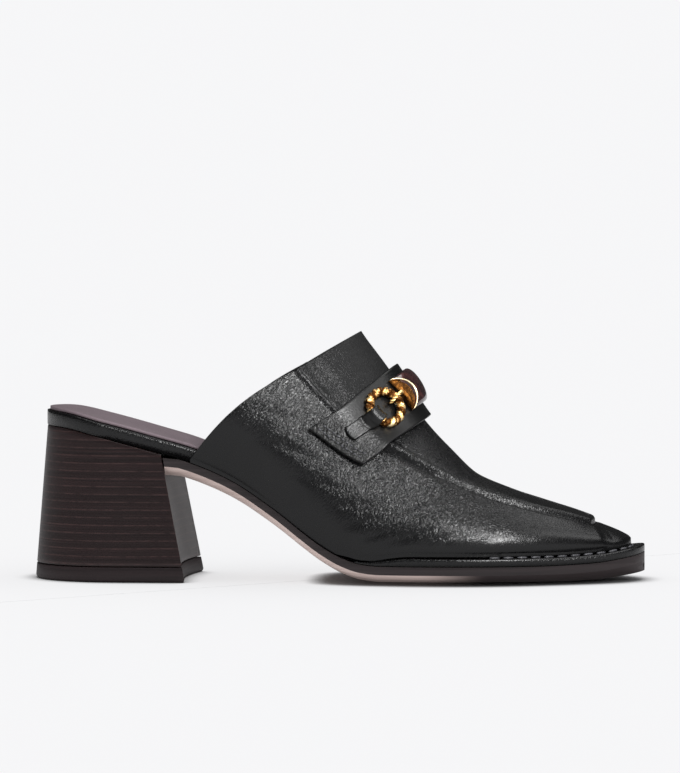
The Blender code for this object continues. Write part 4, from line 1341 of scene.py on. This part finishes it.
# %% [markdown]
# ## Bar, caps and links
# A domed bar of tortoise resin lies over the crest. A gold cap closes each end, with a rim in
# an arc that bulges towards the crest, and a small rope link goes from the cap through the ring.

# %% Bar and caps
CAP_BULGE = 0.0046
CAP_END = BAR_HALF_LENGTH + 0.0031


def dome_point(arc, offset, raise_by=0.0):
    """Point on the bar's dome, from one edge of it to the other."""
    angle = math.acos(max(-1.0, min(1.0, offset / (BAR_WIDTH / 2))))
    height = GAP + BAR_EDGE + (BAR_CROWN - BAR_EDGE) * math.sin(angle) ** 0.9
    return on_strap(arc, HARDWARE_SHIFT + offset, height + raise_by)


def rim_arc(offset):
    """Arc from the crest to the cap's rim: nearer the crest in the middle of the bar."""
    return CAP_END - CAP_BULGE * (1 - (offset / (BAR_WIDTH / 2)) ** 2)


def bar_offsets(count):
    return [BAR_WIDTH / 2 * math.cos(a) for a in np.linspace(0, math.pi, count)]


def dome_rows(offsets, starts, ends, steps, raise_by=0.0):
    """Rows over the dome between two lines, each closed underneath."""
    rows = []
    for share in np.linspace(0, 1, steps):
        row = [dome_point(a + (b - a) * share, o, raise_by) for o, a, b in zip(offsets, starts, ends)]
        flat = [on_strap(a + (b - a) * share, HARDWARE_SHIFT + o, GAP) for o, a, b in zip(offsets, starts, ends)]
        rows.append(row + flat[::-1])
    return rows


offsets = bar_offsets(25)
bm = bmesh.new()
edges = [rim_arc(o) - 0.0002 for o in offsets]
skin(bm, dome_rows(offsets, [-e for e in edges], edges, 25), closed=True, capped=True)
round_edges(finished("tortoise_bar", bm, RESIN, ["bar"]), 0.0003, 2, 50)

for side, name in ((OUTER, "bar_cap_outer"), (INNER, "bar_cap_inner")):
    bm = bmesh.new()
    groove = bm.verts.layers.float.new("groove")
    inner_edge = [side * rim_arc(o) for o in offsets]
    outer_edge = [side * max(CAP_END, rim_arc(o) + 0.0004) for o in offsets]
    cap = skin(bm, dome_rows(offsets, inner_edge, outer_edge, 9, -0.0007), closed=True, capped=True)
    for vert in cap:
        vert[groove] = 0.8
    rim = []
    for o in bar_offsets(33):
        middle = dome_point(side * (rim_arc(o) + 0.0001), o, -0.0001)
        place = skin_place(side * rim_arc(o), HARDWARE_SHIFT + o)
        rim.append([
            middle + (place.along * math.cos(b) * 0.00055 + place.normal * math.sin(b) * 0.0006)
            for b in np.linspace(0, 2 * math.pi, 8, endpoint=False)
        ])
    for vert in skin(bm, rim, closed=True):
        vert[groove] = 0.0
    bmesh.ops.holes_fill(bm, edges=[edge for edge in bm.edges if edge.is_boundary], sides=0)
    finished("gold_" + name, bm, GOLD, [name])

# %% Links
LINK_DIAMETER = 0.0016
wire = LINK_DIAMETER / 2
for side, name in ((OUTER, "link_outer"), (INNER, "link_inner")):
    reach, foot = ROPE + wire + 2 * GAP, wire + 2 * GAP - ROPE
    arch = [(reach, foot)]
    arch += [(reach * math.cos(a), reach * math.sin(a)) for a in np.linspace(0, math.pi, 33)]
    arch += [(-reach, foot)]
    frame_of_ring = ring_matrix(side)
    bm = bmesh.new()
    groove = bm.verts.layers.float.new("groove")
    for half_turn in (0, math.pi):
        rows = []
        for number, (out, up) in enumerate(arch):
            before, after = arch[max(number - 1, 0)], arch[min(number + 1, len(arch) - 1)]
            along = Vector((after[0] - before[0], 0, after[1] - before[1])).normalized()
            aside = Vector((along.z, 0, -along.x))
            twist = number * 0.62 + half_turn
            swing = (aside * math.cos(twist) + Vector((0, 1, 0)) * math.sin(twist)) * wire * 0.5
            middle = Vector((-RING + out, 0, up)) + swing
            rows.append([
                frame_of_ring @ (middle + (aside * math.cos(b) + Vector((0, 1, 0)) * math.sin(b)) * wire * 0.58)
                for b in np.linspace(0, 2 * math.pi, 8, endpoint=False)
            ])
        for vert in skin(bm, rows, closed=True):
            vert[groove] = 0.45
    bmesh.ops.holes_fill(bm, edges=[edge for edge in bm.edges if edge.is_boundary], sides=0)
    finished("rope_" + name, bm, GOLD, [name])

# %% [markdown]
# ## Floor and light
# The photograph has an even, nearly white ground with a close soft shadow under the sole. An
# even white sky gives that ground at any distance. Glossy black leather shows what it mirrors,
# so for mirrored rays the sky is dark, as in a studio with black flags, and the soft boxes are
# the bright shapes in it. The boxes light the shoe alone, so the ground stays even.

# %% Floor
def floor_finish():
    """Matt white ground that glows a little; the glow is taken away where the sole is close above it, which
    paints the contact shadow.
    """
    made = bpy.data.materials.new("pale_floor")
    made.use_nodes = True
    tree = made.node_tree
    shader = tree.nodes["Principled BSDF"]
    shader.inputs["Base Color"].default_value = (0.22, 0.22, 0.222, 1)
    shader.inputs["Roughness"].default_value = 1.0
    shader.inputs["Specular IOR Level"].default_value = 0.0
    shader.inputs["Emission Color"].default_value = (0.99, 0.99, 1.0, 1)
    # Painted contact shadow: ambient occlusion within 12 mm dims the floor's glow under and beside the shoe.
    painted_contact_shadow = add_node(tree, "ShaderNodeAmbientOcclusion", inputs={"Distance": 0.012}, samples=16)
    glow = add_node(
        tree, "ShaderNodeMapRange", {"Value": painted_contact_shadow.outputs["AO"]},
        {"From Min": 0.35, "From Max": 0.95, "To Min": 0.0, "To Max": 0.674},
        interpolation_type="SMOOTHSTEP",
    )
    mirrored = add_node(tree, "ShaderNodeLightPath").outputs["Is Glossy Ray"]
    held_back = add_node(
        tree, "ShaderNodeMapRange", {"Value": mirrored}, {"To Min": 1.0, "To Max": 0.5}
    )
    strength = add_node(
        tree, "ShaderNodeMath", {0: glow.outputs[0], 1: held_back.outputs[0]}, operation="MULTIPLY"
    )
    tree.links.new(strength.outputs[0], shader.inputs["Emission Strength"])
    return made


bm = bmesh.new()
bmesh.ops.create_grid(bm, x_segments=1, y_segments=1, size=600)
mesh = bpy.data.meshes.new("floor")
bm.to_mesh(mesh)
bm.free()
floor = bpy.data.objects.new("floor", mesh)
mesh.materials.append(floor_finish())
bpy.context.scene.collection.objects.link(floor)

# %% Lights
SKY, MIRRORED_SKY = 1.185, 0.04
LIT_PLACE = Vector((0, 0, 0.05))
world = bpy.data.worlds.new("studio")
world.use_nodes = True
sky = world.node_tree.nodes["Background"]
sky.inputs["Color"].default_value = (0.99, 0.99, 1.0, 1)
mirrored = add_node(world.node_tree, "ShaderNodeLightPath").outputs["Is Glossy Ray"]
strength = add_node(
    world.node_tree, "ShaderNodeMapRange", {"Value": mirrored},
    {"To Min": SKY, "To Max": MIRRORED_SKY},
)
world.node_tree.links.new(strength.outputs[0], sky.inputs["Strength"])
bpy.context.scene.world = world
bpy.context.scene.view_settings.view_transform = "Standard"

unlit = bpy.data.collections.new("not_lit_by_the_boxes")
unlit.objects.link(floor)
unlit.collection_objects[0].light_linking.link_state = "EXCLUDE"
hardware = bpy.data.collections.new("lit_by_the_hardware_boxes")
for piece in bpy.data.objects:
    if piece.type == "MESH" and GOLD.name in piece.data.materials:
        hardware.objects.link(piece)
flagged = bpy.data.collections.new("flagged_off_from_the_front_box")
for piece in ("floor", "stacked_heel", "top_piece", "leather_outsole"):
    flagged.objects.link(bpy.data.objects[piece])
for linked in flagged.collection_objects:
    linked.light_linking.link_state = "EXCLUDE"
heel_only = bpy.data.collections.new("lit_by_the_breast_box")
heel_only.objects.link(bpy.data.objects["stacked_heel"])
SoftBox = namedtuple("SoftBox", "name turn rise distance width height power lit")
for box in (
    SoftBox("front", 27, 24, 1.8, 0.50, 0.70, 33.0, flagged),
    SoftBox("front_top", -10, 80, 1.3, 1.1, 0.2, 2.4, unlit),
    SoftBox("toe_side", 76, 42, 1.3, 0.8, 0.4, 2.2, unlit),
    SoftBox("behind", 136, 61, 1.3, 1.0, 0.5, 3.0, unlit),
    SoftBox("breast", 152, 8, 1.2, 0.12, 0.6, 0.45, heel_only),
    SoftBox("hardware_left", -42, 26, 0.9, 1.2, 0.8, 9.0, hardware),
    SoftBox("hardware_right", 45, 22, 0.9, 1.2, 0.8, 9.0, hardware),
    SoftBox("hardware_top", 0, 80, 0.9, 1.2, 0.9, 9.0, hardware),
):
    turn, rise = math.radians(box.turn), math.radians(box.rise)
    away = Vector((math.sin(turn) * math.cos(rise), -math.cos(turn) * math.cos(rise), math.sin(rise)))
    data = bpy.data.lights.new(box.name, "AREA")
    data.shape = "RECTANGLE"
    data.size, data.size_y = box.width, box.height
    data.energy = box.power
    lamp = bpy.data.objects.new(box.name, data)
    lamp.location = LIT_PLACE + away * box.distance
    lamp.rotation_euler = away.to_track_quat("Z", "Y").to_euler()
    lamp.light_linking.receiver_collection = box.lit
    lamp.visible_camera = False
    bpy.context.scene.collection.objects.link(lamp)
print("lights:", len(bpy.data.lights))
